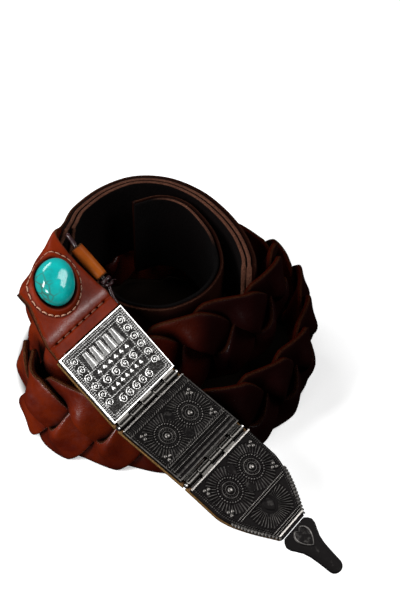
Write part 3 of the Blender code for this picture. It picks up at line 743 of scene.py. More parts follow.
def build_straps():
    """Three layers of the strap up to the tab, and two of the belt's other end."""
    pitch = STRAP_LAYER + LAYER_GAP
    thick = pitch - 0.05
    start = surface.run[0]
    runs = np.arange(start, JOIN_RUN + 0.1, STRAP_STEP)
    runs[-1] = JOIN_RUN
    inner = np.arange(start, LINING_END, STRAP_STEP)
    layers = (("strap_outer_hide", runs, 0.0, STRAP_HIDE, "strap_grain", "cognac_leather"),
              ("strap_middle_suede", runs - STRAP_STEP, -pitch, SUEDE, "strap_core", "dark_leather"),
              ("strap_inner_suede", inner, -2 * pitch, SUEDE, "strap_lining", "dark_leather"))
    for name, along, high, look, node, slot in layers:
        strap_sheet(name, along, high, thick, look, "coil", (node,), slot)

    points, width, normal = upright_frames(END_STATIONS, STRAP_STEP, STRAP_HALF)
    shares = np.array(STRAP_COLUMNS, float)
    middle = points[:, None] + width[:, None] * (STRAP_HALF * shares)[:, None]
    edge, rounding = edge_shape(shares, END_THICK)
    # painted shade along the belt's other end, except between about 0.72 and 0.86 of its length, on both
    # faces
    shaded = np.interp(np.linspace(0, 1, len(points)), (0.60, 0.72, 0.86, 0.94), (1, 0, 0, 1))
    shaded = np.tile(shaded[:, None] + 0 * shares, (2, 1))
    layers = (("end_outer_hide", STRAP_LAYER, STRAP_HIDE, "end_strap_grain", "cognac_leather"),
              ("end_inner_suede", -0.15, SUEDE, "end_strap_lining", "dark_leather"))
    for name, high, look, node, slot in layers:
        upper = middle + normal[:, None] * (high - rounding)[:, None]
        lower = middle + normal[:, None] * (high - END_THICK + rounding)[:, None]
        add_sheet(name, upper, lower, edge, look, "coil", (node,), slot, {"crease": shaded}, ends=0.0)


def stone_distance(run, side):
    """How far a point of the tab lies outside the stone's outline, roughly in millimetres."""
    run, side = run + STONE_RUN, side - STONE_SIDE
    a = run * math.cos(STONE_TURN) + side * math.sin(STONE_TURN)
    b = side * math.cos(STONE_TURN) - run * math.sin(STONE_TURN)
    share = np.hypot(a / STONE_HALVES[0], b / STONE_HALVES[1])
    return (share - 1) * 0.5 * (STONE_HALVES[0] + STONE_HALVES[1])


RING_OFF = 3.2  # stitches round the stone, outside its outline
RING_STITCHES = 26
HEM_PITCH = 4.1
HEM_COUNT = 8


def bell(distance, spread_mm):
    return np.exp(-(distance / spread_mm) ** 2)


def hem_sides():
    return (np.arange(HEM_COUNT) - (HEM_COUNT - 1) / 2) * HEM_PITCH


def tab_relief(run, side):
    """Height and painted shade of the tab's face: mound round the stone, stitch grooves, hem and awl holes;
    shade is painted at the stone's edge, in the stitch groove round it and in the awl holes.
    """
    off = stone_distance(run, side)
    lift = 1.5 * bell(off - 1.2, 1.5) - 0.5 * bell(off - RING_OFF, 0.55) + 0.9 * bell(off, 6.0)
    lift = np.where(off < 0, np.minimum(lift, 1.2) * np.clip(1 + off / 3, 0, 1), lift)
    # painted shade at the stone's edge and in the stitch groove round it
    dark = 0.95 * bell(off - 0.1, 0.55) + 0.45 * bell(off - RING_OFF, 0.5)
    lift = lift - 0.30 * bell(run - HEM_RUN, 0.5) + 0.5 * bell(run - HEM_RUN + 3.2, 2.2)
    for place in hem_sides():
        hole = bell(run - HEM_RUN, 0.45) * bell(side - place, 0.75)
        lift = lift - 0.8 * hole
        # painted shade in each awl hole
        dark = dark + 0.95 * hole
    fold = bell(run + FOLD_RUN - 3.0, 5.0)
    lift = lift + 0.35 * fold * np.sin(side * 0.55 + run * 0.3)
    fade = np.clip((run - JOIN_RUN) / 6.0, 0, 1)
    return lift * fade, np.clip(dark, 0, 1)


def build_tab():
    """The tab's leather, which is put on no body, and the lining under it."""
    runs = np.concatenate([np.arange(JOIN_RUN, -12.0, 0.45), np.arange(-12.0, -0.3, 0.28)])
    hide = strap_sheet("tab_hide", runs, 0.0, 2.2, TAB_HIDE, None, ("tab_leather",), "cognac_leather",
                       TAB_COLUMNS, tab_relief)
    fold_axis = unit(joints["tab_fold"]["axis"])
    onward = unit(surface.at(-28.0, 0.0, 0.0) - surface.at(-52.0, 0.0, 0.0))
    onward = unit(onward - fold_axis * (onward @ fold_axis))
    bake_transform(hide)
    strap_sheet("tab_lining_hide", np.arange(-34.0, -0.5, 1.0), -2.5, 2.0, STRAP_HIDE, "tab",
                ("tab_lining",), "dark_leather", [0.92 * share for share in STRAP_COLUMNS])


def outline_point(turn, grow):
    """Run and side of a point on the stone's outline, grown outward."""
    a, b = STONE_HALVES[0] * math.cos(turn), STONE_HALVES[1] * math.sin(turn)
    share = 1 + grow / math.hypot(a, b)
    a, b = a * share, b * share
    run = -STONE_RUN + a * math.cos(STONE_TURN) - b * math.sin(STONE_TURN)
    return run, STONE_SIDE + a * math.sin(STONE_TURN) + b * math.cos(STONE_TURN)


def stitch(start, end, up, proud, radius):
    """One thread stitch that dips into the leather at both ends."""
    steps = np.linspace(0, 1, 7)
    path = start + (end - start) * steps[:, None] + up * (proud * np.sin(np.pi * steps) - 0.25)[:, None]
    return tube(path, radius, 6, up)


def build_stitches():
    """A ring of pale thread round the stone, and a row of brown thread along the hem."""
    ring = []
    for k in range(RING_STITCHES):
        ends = []
        for part in (0.14, 0.86):
            run, side = outline_point(2 * math.pi * (k + part) / RING_STITCHES, RING_OFF)
            lift, _ = tab_relief(np.array(run), np.array(side))
            ends.append(surface.at(run, side, float(lift) + 0.1))
        ring.append(stitch(*ends, first.up, 0.55, 0.30))
    hem = []
    for place in hem_sides()[:-1] + HEM_PITCH / 2:
        ends = [surface.at(HEM_RUN, place + reach, -0.28) for reach in (-1.35, 1.35)]
        hem.append(stitch(*ends, first.up, 0.45, 0.32))
    add_piece("ring_stitches", *join_parts(ring), PALE_THREAD, "tab", ("ring_thread",), "thread")
    add_piece("hem_stitches", *join_parts(hem), BROWN_THREAD, "tab", ("hem_thread",), "thread")


STONE_SPOKES = 72
STONE_RINGS = 25
STONE_SEAT = 1.6  # the girdle's height over the tab
STONE_RISE = 6.2


def build_stone():
    """A pebble-shaped cabochon in a leather lip: an egg outline whose dome has soft facets and dimples."""
    turns = 2 * np.pi * np.arange(STONE_SPOKES) / STONE_SPOKES
    outline = []
    for turn in turns:
        egg = 0.45 * math.cos(turn - 0.5) + 0.25 * math.cos(3 * turn + 1.0) - 0.3
        outline.append(first.at(*outline_point(turn, egg), 0.0))
    outline = np.array(outline)
    middle = first.at(-STONE_RUN, STONE_SIDE, 0.0)
    veined = np.clip(np.cos(turns - 2.1), 0, 1) ** 1.5  # the side where the matrix shows
    points, matrix = [], []
    for slope in np.linspace(-0.25, 1.0, STONE_RINGS + 1)[:-1]:
        share = math.cos(slope * math.pi / 2) ** 0.72
        rise = STONE_SEAT + STONE_RISE * math.sin(slope * math.pi / 2)
        ring = middle + (outline - middle) * share
        facets = 0.35 * np.sin(2 * turns + 4.0 * share) + 0.25 * np.sin(3 * turns - 5.0 * share)
        points.append(ring + first.up * (rise + facets * share * max(slope, 0))[:, None])
        matrix.append(veined * np.clip((share - 0.35) / 0.5, 0, 1))
    top = STONE_RINGS * STONE_SPOKES
    last = top - STONE_SPOKES
    points = np.vstack([*points, middle + first.up * (STONE_SEAT + STONE_RISE)])
    faces = [tuple(range(STONE_SPOKES)), *ring_faces(STONE_RINGS, STONE_SPOKES)]
    faces += [(last + j, last + (j + 1) % STONE_SPOKES, top) for j in range(STONE_SPOKES)]
    add_piece("turquoise_cabochon", points, outward_faces(points, faces), TURQUOISE, "tab",
              ("turquoise_stone",), "turquoise", {"matrix": np.append(np.concatenate(matrix), 0.0)})
    path = [surface.at(*outline_point(turn, 0.75), 0.55 + 0.12 * math.sin(9 * turn)) for turn in turns]
    points, faces = tube(path + path[:2], 0.75, 10, first.up)
    # painted shade: the lip is darkened a little all over, like the stone's edge on the tab
    add_piece("stone_lip", points, faces, TAB_HIDE, "tab", ("stone_collar",), "cognac_leather",
              {"crease": np.full(len(points), 0.35)})


# ---- lace, rolled toggle and knot ----

LACE_SIDE = 22.0
LACE_RUNS = (-35.5, -0.8)
LACE_RADIUS = 0.95
ROLL_RUNS = (-30.0, -13.5)
ROLL_FROM = 0.4  # the turn where the rolled strip starts, in radians
ROLL_SWEEP = 3.5 * math.pi
LACE_UP = -1.1
FRAYS = 7


def edge_points(runs, side, up):
    """Points along the tab at one side and height."""
    runs = np.asarray(runs, float)
    return surface.at(runs, np.broadcast_to(side, runs.shape), np.broadcast_to(up, runs.shape))


def build_roll():
    """A strip of tan hide rolled one and three quarter times round the lace."""
    runs = np.linspace(*ROLL_RUNS, 14)
    centre = edge_points(runs, LACE_SIDE, LACE_UP)
    out = edge_points(runs, LACE_SIDE + 1, LACE_UP) - centre
    rise = edge_points(runs, LACE_SIDE, LACE_UP + 1) - centre
    turns = np.linspace(ROLL_FROM, ROLL_FROM + ROLL_SWEEP, 64)
    inner = 1.30 + 0.22 * (turns - turns[0]) / math.pi
    swell = 1 + 0.05 * np.sin(np.linspace(0, math.pi, len(runs)))
    grids = []
    for radius in (inner + 0.95, inner):
        reach = radius[None, :, None] * swell[:, None, None]
        grids.append(centre[:, None] + reach * (out[:, None] * np.cos(turns)[:, None]
                                                + rise[:, None] * np.sin(turns)[:, None]))
    edge = np.interp(turns, (turns[0], turns[0] + 0.1, turns[-1] - 0.1, turns[-1]), (1, 0, 0, 1))
    add_sheet("rolled_toggle", grids[0], grids[1], edge, TAN, "tab", ("toggle_roll",), "tan_leather")


def build_lace():
    """The lace that runs through the roll and tucks in behind the first plate."""
    runs = np.linspace(*LACE_RUNS, 60)
    sway = 0.5 * np.sin(runs * 0.45) * np.interp(runs, (-13, -9, -1), (0, 1, 0.4))
    tuck = 3.2 * np.interp(runs, (-12, LACE_RUNS[1]), (0, 1))
    path = edge_points(runs, LACE_SIDE, LACE_UP) + ACROSS * (sway - tuck)[:, None]
    radius = LACE_RADIUS * (1 + 0.10 * np.sin(runs * 1.9))
    points, faces = tube(path, radius, 10, first.up)
    add_piece("hide_lace", points, faces, DARK_LACE, "tab", ("lace",), "dark_leather")


def build_knot():
    """Three tilted wraps at the roll's lower end, with frayed fibres."""
    parts = []
    centre = surface.at(ROLL_RUNS[1] + 2.6, LACE_SIDE, LACE_UP)
    turns = np.linspace(0, 2 * np.pi, 25)
    for wrap, (tilt, size) in enumerate(((0.3, 1.9), (-0.5, 2.0), (0.9, 1.7))):
        along = 0.9 * (wrap - 1) + tilt * np.sin(turns)
        loop = (centre + first.along * along[:, None] + ACROSS * (size * np.cos(turns))[:, None]
                + first.up * (size * np.sin(turns))[:, None])
        parts.append(tube(loop, 0.85, 9, first.along))
    for k in range(FRAYS):
        turn = 0.6 + 0.8 * k
        reach = np.linspace(1.6, 3.6 + 0.9 * math.sin(5 * k), 6)
        bend = 0.25 * (reach - 1.6) ** 2 * math.cos(3 * k)
        fray = (centre + first.along * (1.0 + 0.5 * math.sin(2 * k) + bend)[:, None]
                + (ACROSS * math.cos(turn) + first.up * math.sin(turn)) * reach[:, None])
        parts.append(tube(fray, np.linspace(0.34, 0.12, 6), 5, first.along))
    add_piece("frayed_knot", *join_parts(parts), DARK_LACE, "tab", ("lace_knot",), "dark_leather")


# ---- relief of the silver plates ----

RELIEF_STEP = 0.2  # spacing of the relief's points
FACE_BASE = -0.85  # the hollows' depth under the plates' highest ridges
PLATE_UNDER = -2.2


def dome(distance, radius, rise):
    return rise * np.sqrt(np.clip(1 - (distance / radius) ** 2, 0, 1))


def ridge(distance, half, rise):
    return rise * np.clip(1 - (distance / half) ** 2, 0, 1) ** 0.7


def pyramid(u, v, reach_u, reach_v, rise):
    """A faceted lozenge."""
    return rise * np.clip(1 - np.abs(u) / reach_u - np.abs(v) / reach_v, 0, 1)


def bead_line(along, off, start, end, pitch=0.95, radius=0.46, rise=0.62):
    """A row of beads between two places on one coordinate; off is the distance from the row."""
    count = max(int(round((end - start) / pitch)), 1)
    pitch = (end - start) / count
    middle = start + (np.clip(np.floor((along - start) / pitch), 0, count - 1) + 0.5) * pitch
    return dome(np.hypot(along - middle, off), radius, rise)


def bead_ring(u, v, radius, count, bead, rise):
    turn = np.arctan2(v, u)
    pitch = 2 * np.pi / count
    off = (np.mod(turn + pitch / 2, pitch) - pitch / 2) * radius
    return dome(np.hypot(np.hypot(u, v) - radius, off), bead, rise)


def scroll(u, v, size, turn, rise=0.75):
    """A spiral curl, open towards the given turn."""
    radius, angle = np.hypot(u, v), np.mod(np.arctan2(v, u) - turn, 2 * np.pi)
    whole = 3.1 * np.pi
    height = dome(np.hypot(u, v), 0.26 * size, rise)
    for lap in (0, 1):
        swept = angle + 2 * np.pi * lap
        line = size * (1 - 0.78 * swept / whole)
        height = np.maximum(height, np.where(swept < whole, ridge(radius - line, 0.15 * size, rise), 0))
    return height


def shield(u, v, length, half, rise=0.34):
    """A smooth heart-shaped boss, its point towards +u."""
    share = np.clip(u / length + 0.5, 0, 1)
    reach = half * 2.1 * np.sqrt(share) * (1 - share) ** 0.85
    notch = 0.7 * half * np.clip(1 - np.abs(v) / (0.35 * half), 0, 1) * (share < 0.3)
    inside = np.clip((reach - np.abs(v) - notch) / 0.55, 0, 1)
    return rise * inside * (2 - inside)


def trefoil(u, v, size, turn):
    """Three balls about a small one."""
    height = dome(np.hypot(u, v), 0.42 * size, 0.5)
    for k in range(3):
        angle = turn + 2 * np.pi * k / 3
        ball = np.hypot(u - size * math.cos(angle), v - size * math.sin(angle))
        height = np.maximum(height, dome(ball, 0.82 * size, 0.95))
    return height


def rays(u, v, near, far, count, rise):
    """Fine ridges that radiate from a centre."""
    radius, turn = np.hypot(u, v), np.arctan2(v, u)
    band = np.clip((radius - near) / 0.4, 0, 1) * np.clip((far - radius) / 0.4, 0, 1)
    return rise * band * (0.5 + 0.5 * np.cos(turn * count))


def rosette(u, v, reach=5.6):
    """A ball in a ring, a ring of rays and an outer ring of beads."""
    radius = np.hypot(u, v)
    return highest(dome(radius, 0.24 * reach, 1.05), ridge(radius - 0.36 * reach, 0.35, 0.55),
                   bead_ring(u, v, 0.50 * reach, 18, 0.38, 0.5), ridge(radius - 0.62 * reach, 0.32, 0.6),
                   rays(u, v, 0.66 * reach, 0.86 * reach, 34, 0.5),
                   bead_ring(u, v, 0.94 * reach, 28, 0.46, 0.75))


def highest(*heights):
    result = heights[0]
    for height in heights[1:]:
        result = np.maximum(result, height)
    return result


def bead_frame(run, side, inset, length, half):
    """Beads along all four sides of a rectangle."""
    return highest(
        bead_line(side, run - inset, -half + inset, half - inset),
        bead_line(side, run - length + inset, -half + inset, half - inset),
        bead_line(run, side - half + inset, inset, length - inset),
        bead_line(run, side + half - inset, inset, length - inset))


def repeat(side, pitch, count):
    """Distance from the nearest of count places spaced evenly about the middle."""
    place = np.clip(np.round(side / pitch + (count - 1) / 2), 0, count - 1) - (count - 1) / 2
    return side - place * pitch


def stipple(run, side, pitch=0.85, rise=0.36):
    """Fine punched dots all over a field."""
    u, v = (np.mod(part, pitch) - pitch / 2 for part in (run + side, run - side))
    return dome(np.hypot(u, v), 0.42 * pitch, rise)


def within(value, low, high):
    return (value >= low) & (value <= high)


FIELD_HALF = 11.6  # the middle field of the first plate, between its scroll borders
FIELD_RUNS = (3.2, 25.7)
FIELD_BEAD_ROWS = (3.6, 12.3, 16.6, 21.0, 25.2)
BAR_RUNS = (4.4, 11.6)


def first_relief(run, side):
    """Bead frames, scroll borders, tapered bars, two rows of lozenges and a row of scrolls."""
    length, half = FIRST_LENGTH, PLATE_HALF
    sides = np.abs(side)
    inset = np.minimum.reduce([run, length - run, half - sides])
    heights = [np.where(inset < 0.75, 0.62, 0.0), stipple(run, side)]
    heights += [bead_frame(run, side, margin, length, half) for margin in (1.35, 2.35)]
    for row in FIELD_BEAD_ROWS:
        inner = bead_line(side, run - row, -FIELD_HALF, FIELD_HALF)
        heights.append(np.where(sides < FIELD_HALF, inner, 0))
    border = bead_line(run, sides - FIELD_HALF - 0.5, *FIELD_RUNS)
    heights.append(np.where(within(run, *FIELD_RUNS), border, 0))
    bar = np.abs(repeat(side, 4.1, 5))
    reach = np.interp(run, BAR_RUNS, (1.2, 2.0))
    facet = np.clip(1 - bar / reach, 0, 1) ** 0.8
    heights.append(np.where(within(run, *BAR_RUNS) & (bar < reach), 0.35 + 0.65 * facet, 0))
    for row, count in ((14.45, 6), (23.1, 7)):
        lozenge = repeat(side, 20.4 / count, count)
        heights.append(pyramid(run - row, lozenge, 2.1, 10.0 / count, 1.36))
    heights.append(scroll(run - 18.8, repeat(side, 5.4, 4), 2.1, 2.2))
    heights.append(scroll(repeat(run - length / 2 + 1.4, 4.25, 6), sides - 14.2, 1.95, 0.6))
    heights.append(scroll(run - 28.6, repeat(side, 4.1, 5), 2.0, 2.6))
    return np.minimum(highest(*heights), 1.0)


def owl_field(run, side, middle, gap=7.4):
    """Two rosettes side by side, with shields between them and trefoils in the corners."""
    off, sides = run - middle, np.abs(side)
    heights = [rosette(off, sides - gap)]
    heights += [shield(4.9 + way * off, side, 5.6, 2.6) for way in (1, -1)]
    for row, turn in ((-6.3, 0.4), (6.3, 2.6)):
        heights.append(trefoil(off - row, sides - 14.6, 1.1, turn))
    height = highest(*heights)
    hatch = rays(off, sides - gap, 5.7, 10.5, 40, 0.52)
    return np.where(height > 0.12, height, np.maximum(height, hatch))


def second_relief(run, side):
    """A bright rim, rope and bead rows, the rosette field, then bead rows either side of a groove."""
    length, half = SECOND_LENGTH, PLATE_HALF
    sides = np.abs(side)
    heights = [np.where(within(run, 5.0, 22.6) & (sides < 17.0), owl_field(run, side, 13.8), 0)]
    twist = 0.6 + 0.4 * np.sin(5.2 * (side + run))
    heights += [ridge(run - row, 0.75, rise) * twist for row, rise in ((3.9, 0.75), (22.3, 0.7))]
    heights.append(0.45 * (0.5 + 0.5 * np.cos(7.0 * side)) * within(run, 1.1, 3.2))
    heights.append(np.where(run < 0.7, 1.0, 0.0))
    heights.append(np.where(run > length - 0.7, 0.6, 0.0))
    heights += [bead_line(side, run - row, -half + 0.8, half - 0.8, 0.9, 0.45, 0.8) for row in (23.4, 26.1)]
    heights += [ridge(run - 24.7, 0.35, 0.45), ridge(run - 28.0, 0.9, 0.5)]
    heights.append(bead_line(run, sides - 17.6, 0.9, length - 0.9, 0.9, 0.40, 0.55))
    heights.append(np.where(sides > half - 0.6, 0.5, 0.0))
    return np.minimum(highest(*heights), 1.0)


NECK_HALF = 7.0
OGEE_FROM = 0.36  # share of the third plate's length where its sides start to draw in


def third_half(run):
    """Half-width of the third plate: straight, then a double curve in to the neck."""
    straight = OGEE_FROM * THIRD_LENGTH
    share = np.clip((run - straight) / (THIRD_LENGTH - straight), 0, 1)
    return NECK_HALF + (PLATE_HALF - NECK_HALF) * (1 - share**1.6) ** 1.15


def third_relief(run, side):
    """Rosette field, a double bead line, a radiating shield, borders that follow the outline, a collar."""
    length = THIRD_LENGTH
    inset = third_half(run) - np.abs(side)
    lower = highest(shield(run - 26.6, side, 6.4, 3.3), rays(run - 26.6, side, 3.6, 10.5, 46, 0.56))
    heights = [np.where(within(run, 1.6, 21.4) & (inset > 2.2), owl_field(run, side, 11.4, 7.2), 0),
               np.where(within(run, 23.6, 34.6) & (inset > 2.2), lower, 0),
               np.where(run < 0.8, 1.0, 0),
               np.where(within(run, length - 2.2, length - 1.3), 0.95, 0)]
    for row in (21.9, 22.9):
        line = bead_line(side, run - row, -17.0, 17.0, 0.85, 0.42, 0.9)
        heights.append(np.where(inset > 2.0, line, 0))
    for off, rise in ((0.9, 0.62), (1.85, 0.5)):
        heights.append(bead_line(run, inset - off, 0.9, length - 4.6, 0.85, 0.42, rise))
    for row in (length - 4.0, length - 3.0):
        heights.append(bead_line(side, run - row, -9.0, 9.0, 0.8, 0.42, 1.0))
    return np.minimum(highest(*heights), 1.0)


def tip_half(run):
    """Half-width of the tip: a spade that draws in to a rounded blade."""
    body = np.interp(run, (0.0, 1.2, 2.8, 4.8, 7.0, 9.5, 12.5, 16.0, 20.0, 22.0),
                     (6.2, 7.6, 8.5, 8.1, 6.7, 5.2, 4.3, 3.8, 3.4, 3.25))
    end = TIP_LENGTH - run
    return np.where(end < 3.2, 3.25 * np.sqrt(np.clip(1 - (1 - end / 3.2) ** 2, 0.02, 1)), body)


def tip_relief(run, side):
    crowned = 0.30 * (1 - (side / tip_half(run)) ** 2)
    rim = shield(run - 5.4, side, 9.8, 5.0, 1.0) - shield(run - 5.4, side, 8.4, 4.0, 1.0)
    return np.minimum(highest(crowned, 0.62 * rim, shield(run - 5.4, side, 8.4, 4.0, 0.36)), 1.0)


def relief_plate(name, place, length, half_of, relief, look, body, node, slot):
    """A cast plate: its face is the relief over an outline, with straight walls down to a flat back."""
    runs = np.linspace(0, length, int(round(length / RELIEF_STEP)) + 1)
    shares = np.linspace(-1, 1, int(round(2 * PLATE_HALF / RELIEF_STEP)) + 1)
    side = half_of(runs)[:, None] * shares
    run = np.broadcast_to(runs[:, None], side.shape)
    height = relief(run, side)
    upper = place.at(run, side, FACE_BASE + height)
    lower = place.at(run, side, PLATE_UNDER + 0 * side)
    marks = {"relief": np.append(height, 0 * height)}
    add_piece(name, *two_sided(upper, lower), look, body, (node,), slot, marks)


def flat_half(run):
    return PLATE_HALF + 0 * run


def build_plates():
    """The three plates and the tip, each a relief over its own outline."""
    tip_place = PlateFrame(third.at(THIRD_LENGTH + LAYER_GAP, 0, 0), 0, 0, third.along)
    bright, dark = (BRIGHT_SILVER, "bright_silver"), (DARK_SILVER, "dark_silver")
    plates = (
        ("first_plate_relief", first, FIRST_LENGTH, flat_half, first_relief, bright, "first", "plate_1"),
        ("second_plate_relief", second, SECOND_LENGTH, flat_half, second_relief, dark, "second", "plate_2"),
        ("third_plate_relief", third, THIRD_LENGTH, third_half, third_relief, dark, "third", "plate_3"),
        ("spade_tip", tip_place, TIP_LENGTH - 0.02, tip_half, tip_relief, dark, "third", "tip"))
    for name, place, length, half_of, relief, (look, slot), which, node in plates:
        relief_plate(name, place, length, half_of, relief, look, which + "_plate", node, slot)


FRINGE_FROM = 21.0
FRINGE_PITCH = 1.25


def build_fringe():
    """Cast rope that edges the drawn-in sides of the third plate and the tip's shoulders."""
    parts = []
    runs = np.arange(FRINGE_FROM, THIRD_LENGTH - 1.2, FRINGE_PITCH)
    for hand in (-1, 1):
        for k, run in enumerate(runs):
            swell = 0.55 + 0.25 * math.sin(math.pi * k / (len(runs) - 1))
            side = hand * (float(third_half(run)) + 0.25)
            start = third.at(run - 0.6, side - hand * 0.5, -1.0)
            end = third.at(run + 0.9, side + hand * 0.35, -1.1)
            path = start + (end - start) * np.linspace(0, 1, 5)[:, None]
            parts.append(tube(path, swell * np.array((0.6, 0.95, 1.1, 0.95, 0.6)), 8, third.up))
    points, faces = join_parts(parts)
    add_piece("rope_fringe", points, faces, DARK_SILVER, "third_plate", (), "dark_silver",
              {"relief": np.full(len(points), 0.62)})


KNUCKLES = 5
KNUCKLE_RADIUS = 1.75
PIN_HOLE = 1.0


def knuckle_sides(own):
    """Where every second knuckle starts and ends across the plate, from the first or the second on."""
    pitch = 2 * (PLATE_HALF - 1.0) / KNUCKLES
    starts = [-PLATE_HALF + 1.0 + k * pitch for k in range(own, KNUCKLES, 2)]
    return [(start + 0.15, start + pitch - 0.15) for start in starts]


KNUCKLE_SPOKES = 28
BOX_FACES = [(0, 1, 3, 2), (4, 6, 7, 5), (0, 4, 5, 1), (2, 3, 7, 6), (0, 2, 6, 4), (1, 5, 7, 3)]


def knuckle(place, run, sides, toward):
    """A rolled barrel round the pin, its lip running back to the plate."""
    turns = np.linspace(0, 2 * np.pi, KNUCKLE_SPOKES, endpoint=False)
    low, high = sides
    profile = [(PIN_HOLE, low), (KNUCKLE_RADIUS - 0.25, low), (KNUCKLE_RADIUS, low + 0.22)]
    profile += [(radius, low + high - side) for radius, side in reversed(profile)]
    points = np.vstack([place.at(run + radius * np.cos(turns), side + 0 * turns,
                                 -HINGE_DEPTH + radius * np.sin(turns)) for radius, side in profile])
    barrel = points, outward_faces(points, ring_faces(len(profile), KNUCKLE_SPOKES, closed=True))
    web = np.array([place.at(run + toward * reach, side, up) for reach in (1.1, 2.9)
                    for side in (low + 0.2, high - 0.2) for up in (-2.1, -0.9)])
    return [barrel, (web, outward_faces(web, BOX_FACES))]


def build_hinges():
    """Knuckles in turn from the two plates that meet at each pin."""
    near, far = -HINGE_GAP / 2, HINGE_GAP / 2
    hinges = (
        ("first_knuckles", first, FIRST_LENGTH + far, 0, -1, "first_plate", 0.62),
        ("second_knuckles_near", second, near, 1, 1, "second_plate", 0.62),
        ("second_knuckles_far", second, SECOND_LENGTH + far, 0, -1, "second_plate", 0.5),
        ("third_knuckles", third, near, 1, 1, "third_plate", 0.5))
    for name, place, run, own, toward, body, shine in hinges:
        parts = []
        for sides in knuckle_sides(own):
            parts += knuckle(place, run, sides, toward)
        points, faces = join_parts(parts)
        piece = add_piece(name, points, faces, KNUCKLE_SILVER, body, (), "dark_silver",
                          {"relief": np.full(len(points), shine)})
        piece.data.set_sharp_from_angle(angle=math.radians(40))
    for pin in ("hinge_pin_1", "hinge_pin_2"):
        frame["nodes"][pin].data.materials.clear()
        frame["nodes"][pin].data.materials.append(STEEL)


BACKING_UP, BACKING_DOWN = -2.3, -4.1  # the hide's two faces under the plates' faces


def build_backings():
    """Tan hide behind each plate, its cut edge just showing past the metal."""
    shares = np.array(STRAP_COLUMNS, float)
    edge, rounding = edge_shape(shares, 1.6)
    under = HINGE_GAP / 2 - 0.6  # the hide reaches under the knuckles
    plates = (("first", first, FIRST_LENGTH, flat_half, "plate_1_backing", 0.6, under),
              ("second", second, SECOND_LENGTH, flat_half, "plate_2_backing", -under, under),
              ("third", third, THIRD_LENGTH, third_half, "plate_3_backing", -under, -0.6))
    for name, place, length, half_of, node, start, past in plates:
        runs = np.linspace(start, length + past, 32)
        side = (half_of(runs) + 0.25)[:, None] * shares
        run = np.broadcast_to(runs[:, None], side.shape)
        upper = place.at(run, side, BACKING_UP - rounding + 0 * side)
        lower = place.at(run, side, BACKING_DOWN + rounding + 0 * side)
        add_sheet(name + "_backing_hide", upper, lower, edge, BACKING, name + "_plate", (node,),
                  "tan_leather")


# ---- floor, light and camera ----

CAMERA_PLACE = COIL_MIDDLE + (19.5, -495.6, 443.3)
CAMERA_TILT = math.radians(50.8)
CAMERA_LENS = 84.6
COIL_HOLLOW = 67.0  # radius of the shadow painted on the floor inside the coil
HOLLOW_MIDDLE = (2.0, 12.0, 0.0)  # middle of the painted shadow, from the coil's middle
HOLLOW_SOFT = 2.0  # half-width of its edge
FLOOR_GLOW = 0.45
WORLD_FILL = 0.10  # light from the surroundings


def floor_look():
    """White to the camera and dull to everything else, so it throws no light back on the leather; inside the
    coil it is painted dark as a shadow.
    """
    look, node, feed = new_look("pale_floor")
    middle = (COIL_MIDDLE + HOLLOW_MIDDLE) * MM
    offset = node("ShaderNodeVectorMath", {"operation": "SUBTRACT"})
    plug(offset.inputs[0], place_of(node))
    plug(offset.inputs[1], (middle[0], middle[1], 0.0))
    away = node("ShaderNodeVectorMath", {"operation": "LENGTH"}, Vector=offset.outputs["Vector"])
    # painted shadow: 0 inside the coil, where the floor shows dull to the camera and does not glow, 1 outside
    shade = spread(node, away.outputs["Value"], (COIL_HOLLOW - HOLLOW_SOFT) * MM,
                   (COIL_HOLLOW + HOLLOW_SOFT) * MM)
    pale = mix(node, noise(node, 8.0), (0.84, 0.84, 0.84), (0.88, 0.88, 0.88))
    dull = (0.006, 0.004, 0.003)
    seen = node("ShaderNodeLightPath").outputs["Is Camera Ray"]
    feed(Base_Color=mix(node, seen, dull, mix(node, shade, dull, pale)), Roughness=0.9,
         Specular_IOR_Level=0.0, Emission_Color=pale,
         Emission_Strength=times(node, times(node, shade, seen), FLOOR_GLOW))
    return look


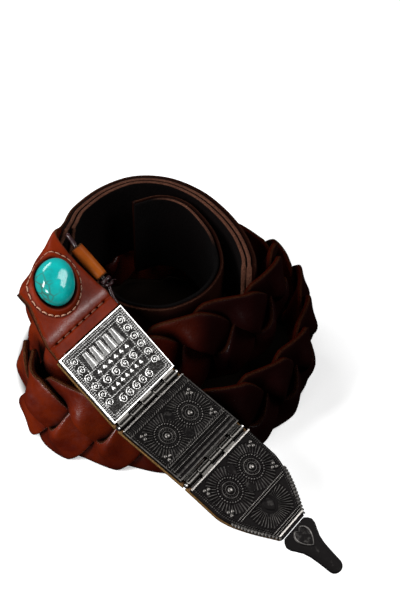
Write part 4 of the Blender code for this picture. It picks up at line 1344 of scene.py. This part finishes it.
def build_stage():
    """The floor, and surroundings that look white to the camera and light the rest dimly."""
    bpy.ops.mesh.primitive_plane_add(size=6.0, location=(0, 0, -0.0012))
    floor = bpy.context.object
    floor.name = "studio_floor"
    floor.data.materials.append(floor_look())
    world = bpy.data.worlds.new("studio")
    bpy.context.scene.world = world
    world.use_nodes = True
    tree = world.node_tree
    background = tree.nodes["Background"]
    background.inputs["Color"].default_value = (1.0, 1.0, 1.0, 1.0)
    background.inputs["Strength"].default_value = WORLD_FILL
    seen = tree.nodes.new("ShaderNodeBackground")
    seen.inputs["Strength"].default_value = 1.0
    ray = tree.nodes.new("ShaderNodeLightPath")
    either = tree.nodes.new("ShaderNodeMixShader")
    tree.links.new(ray.outputs["Is Camera Ray"], either.inputs[0])
    tree.links.new(background.outputs[0], either.inputs[1])
    tree.links.new(seen.outputs[0], either.inputs[2])
    tree.links.new(either.outputs[0], tree.nodes["World Output"].inputs["Surface"])


def add_light(name, place, size, power, target=(0.0, 0.0, 0.04)):
    light = bpy.data.lights.new(name, "AREA")
    light.shape = "RECTANGLE"
    light.size, light.size_y = size
    light.energy = power
    lamp = bpy.data.objects.new(name, light)
    lamp.location = place
    aim = Vector(target) - Vector(place)
    lamp.rotation_euler = aim.to_track_quat("-Z", "Y").to_euler()
    bpy.context.scene.collection.objects.link(lamp)


def build_lights():
    """Place, size and power of each lamp, in metres and watts."""
    add_light("key_left", (-0.60, -0.45, 0.55), (0.18, 0.50), 8.5)
    add_light("front_low", (-0.45, -0.85, 0.22), (0.24, 0.24), 4.5, (0.0, -0.03, 0.03))
    add_light("panel_right", (0.62, -0.05, 0.62), (0.36, 0.44), 4.5, (0.0, -0.05, 0.05))
    add_light("top_back", (-0.35, 0.45, 0.70), (0.40, 0.20), 2.4)


def set_tones():
    """Plain display tones, so that dark hide stays dark and dyes keep their strength."""
    view = bpy.context.scene.view_settings
    view.view_transform = "Standard"
    view.look = "None"


def build_camera():
    camera = bpy.data.cameras.new("view")
    camera.lens = CAMERA_LENS
    camera.clip_start = 0.01
    seat = bpy.data.objects.new("view", camera)
    seat.location = Vector(CAMERA_PLACE * MM)
    seat.rotation_euler = (CAMERA_TILT, 0.0, 0.0)
    bpy.context.scene.collection.objects.link(seat)
    bpy.context.scene.camera = seat


build_braid()
build_straps()
build_tab()
build_stitches()
build_stone()
build_roll()
build_lace()
build_knot()
build_plates()
build_fringe()
build_hinges()
build_backings()
build_stage()
build_lights()
build_camera()
set_tones()
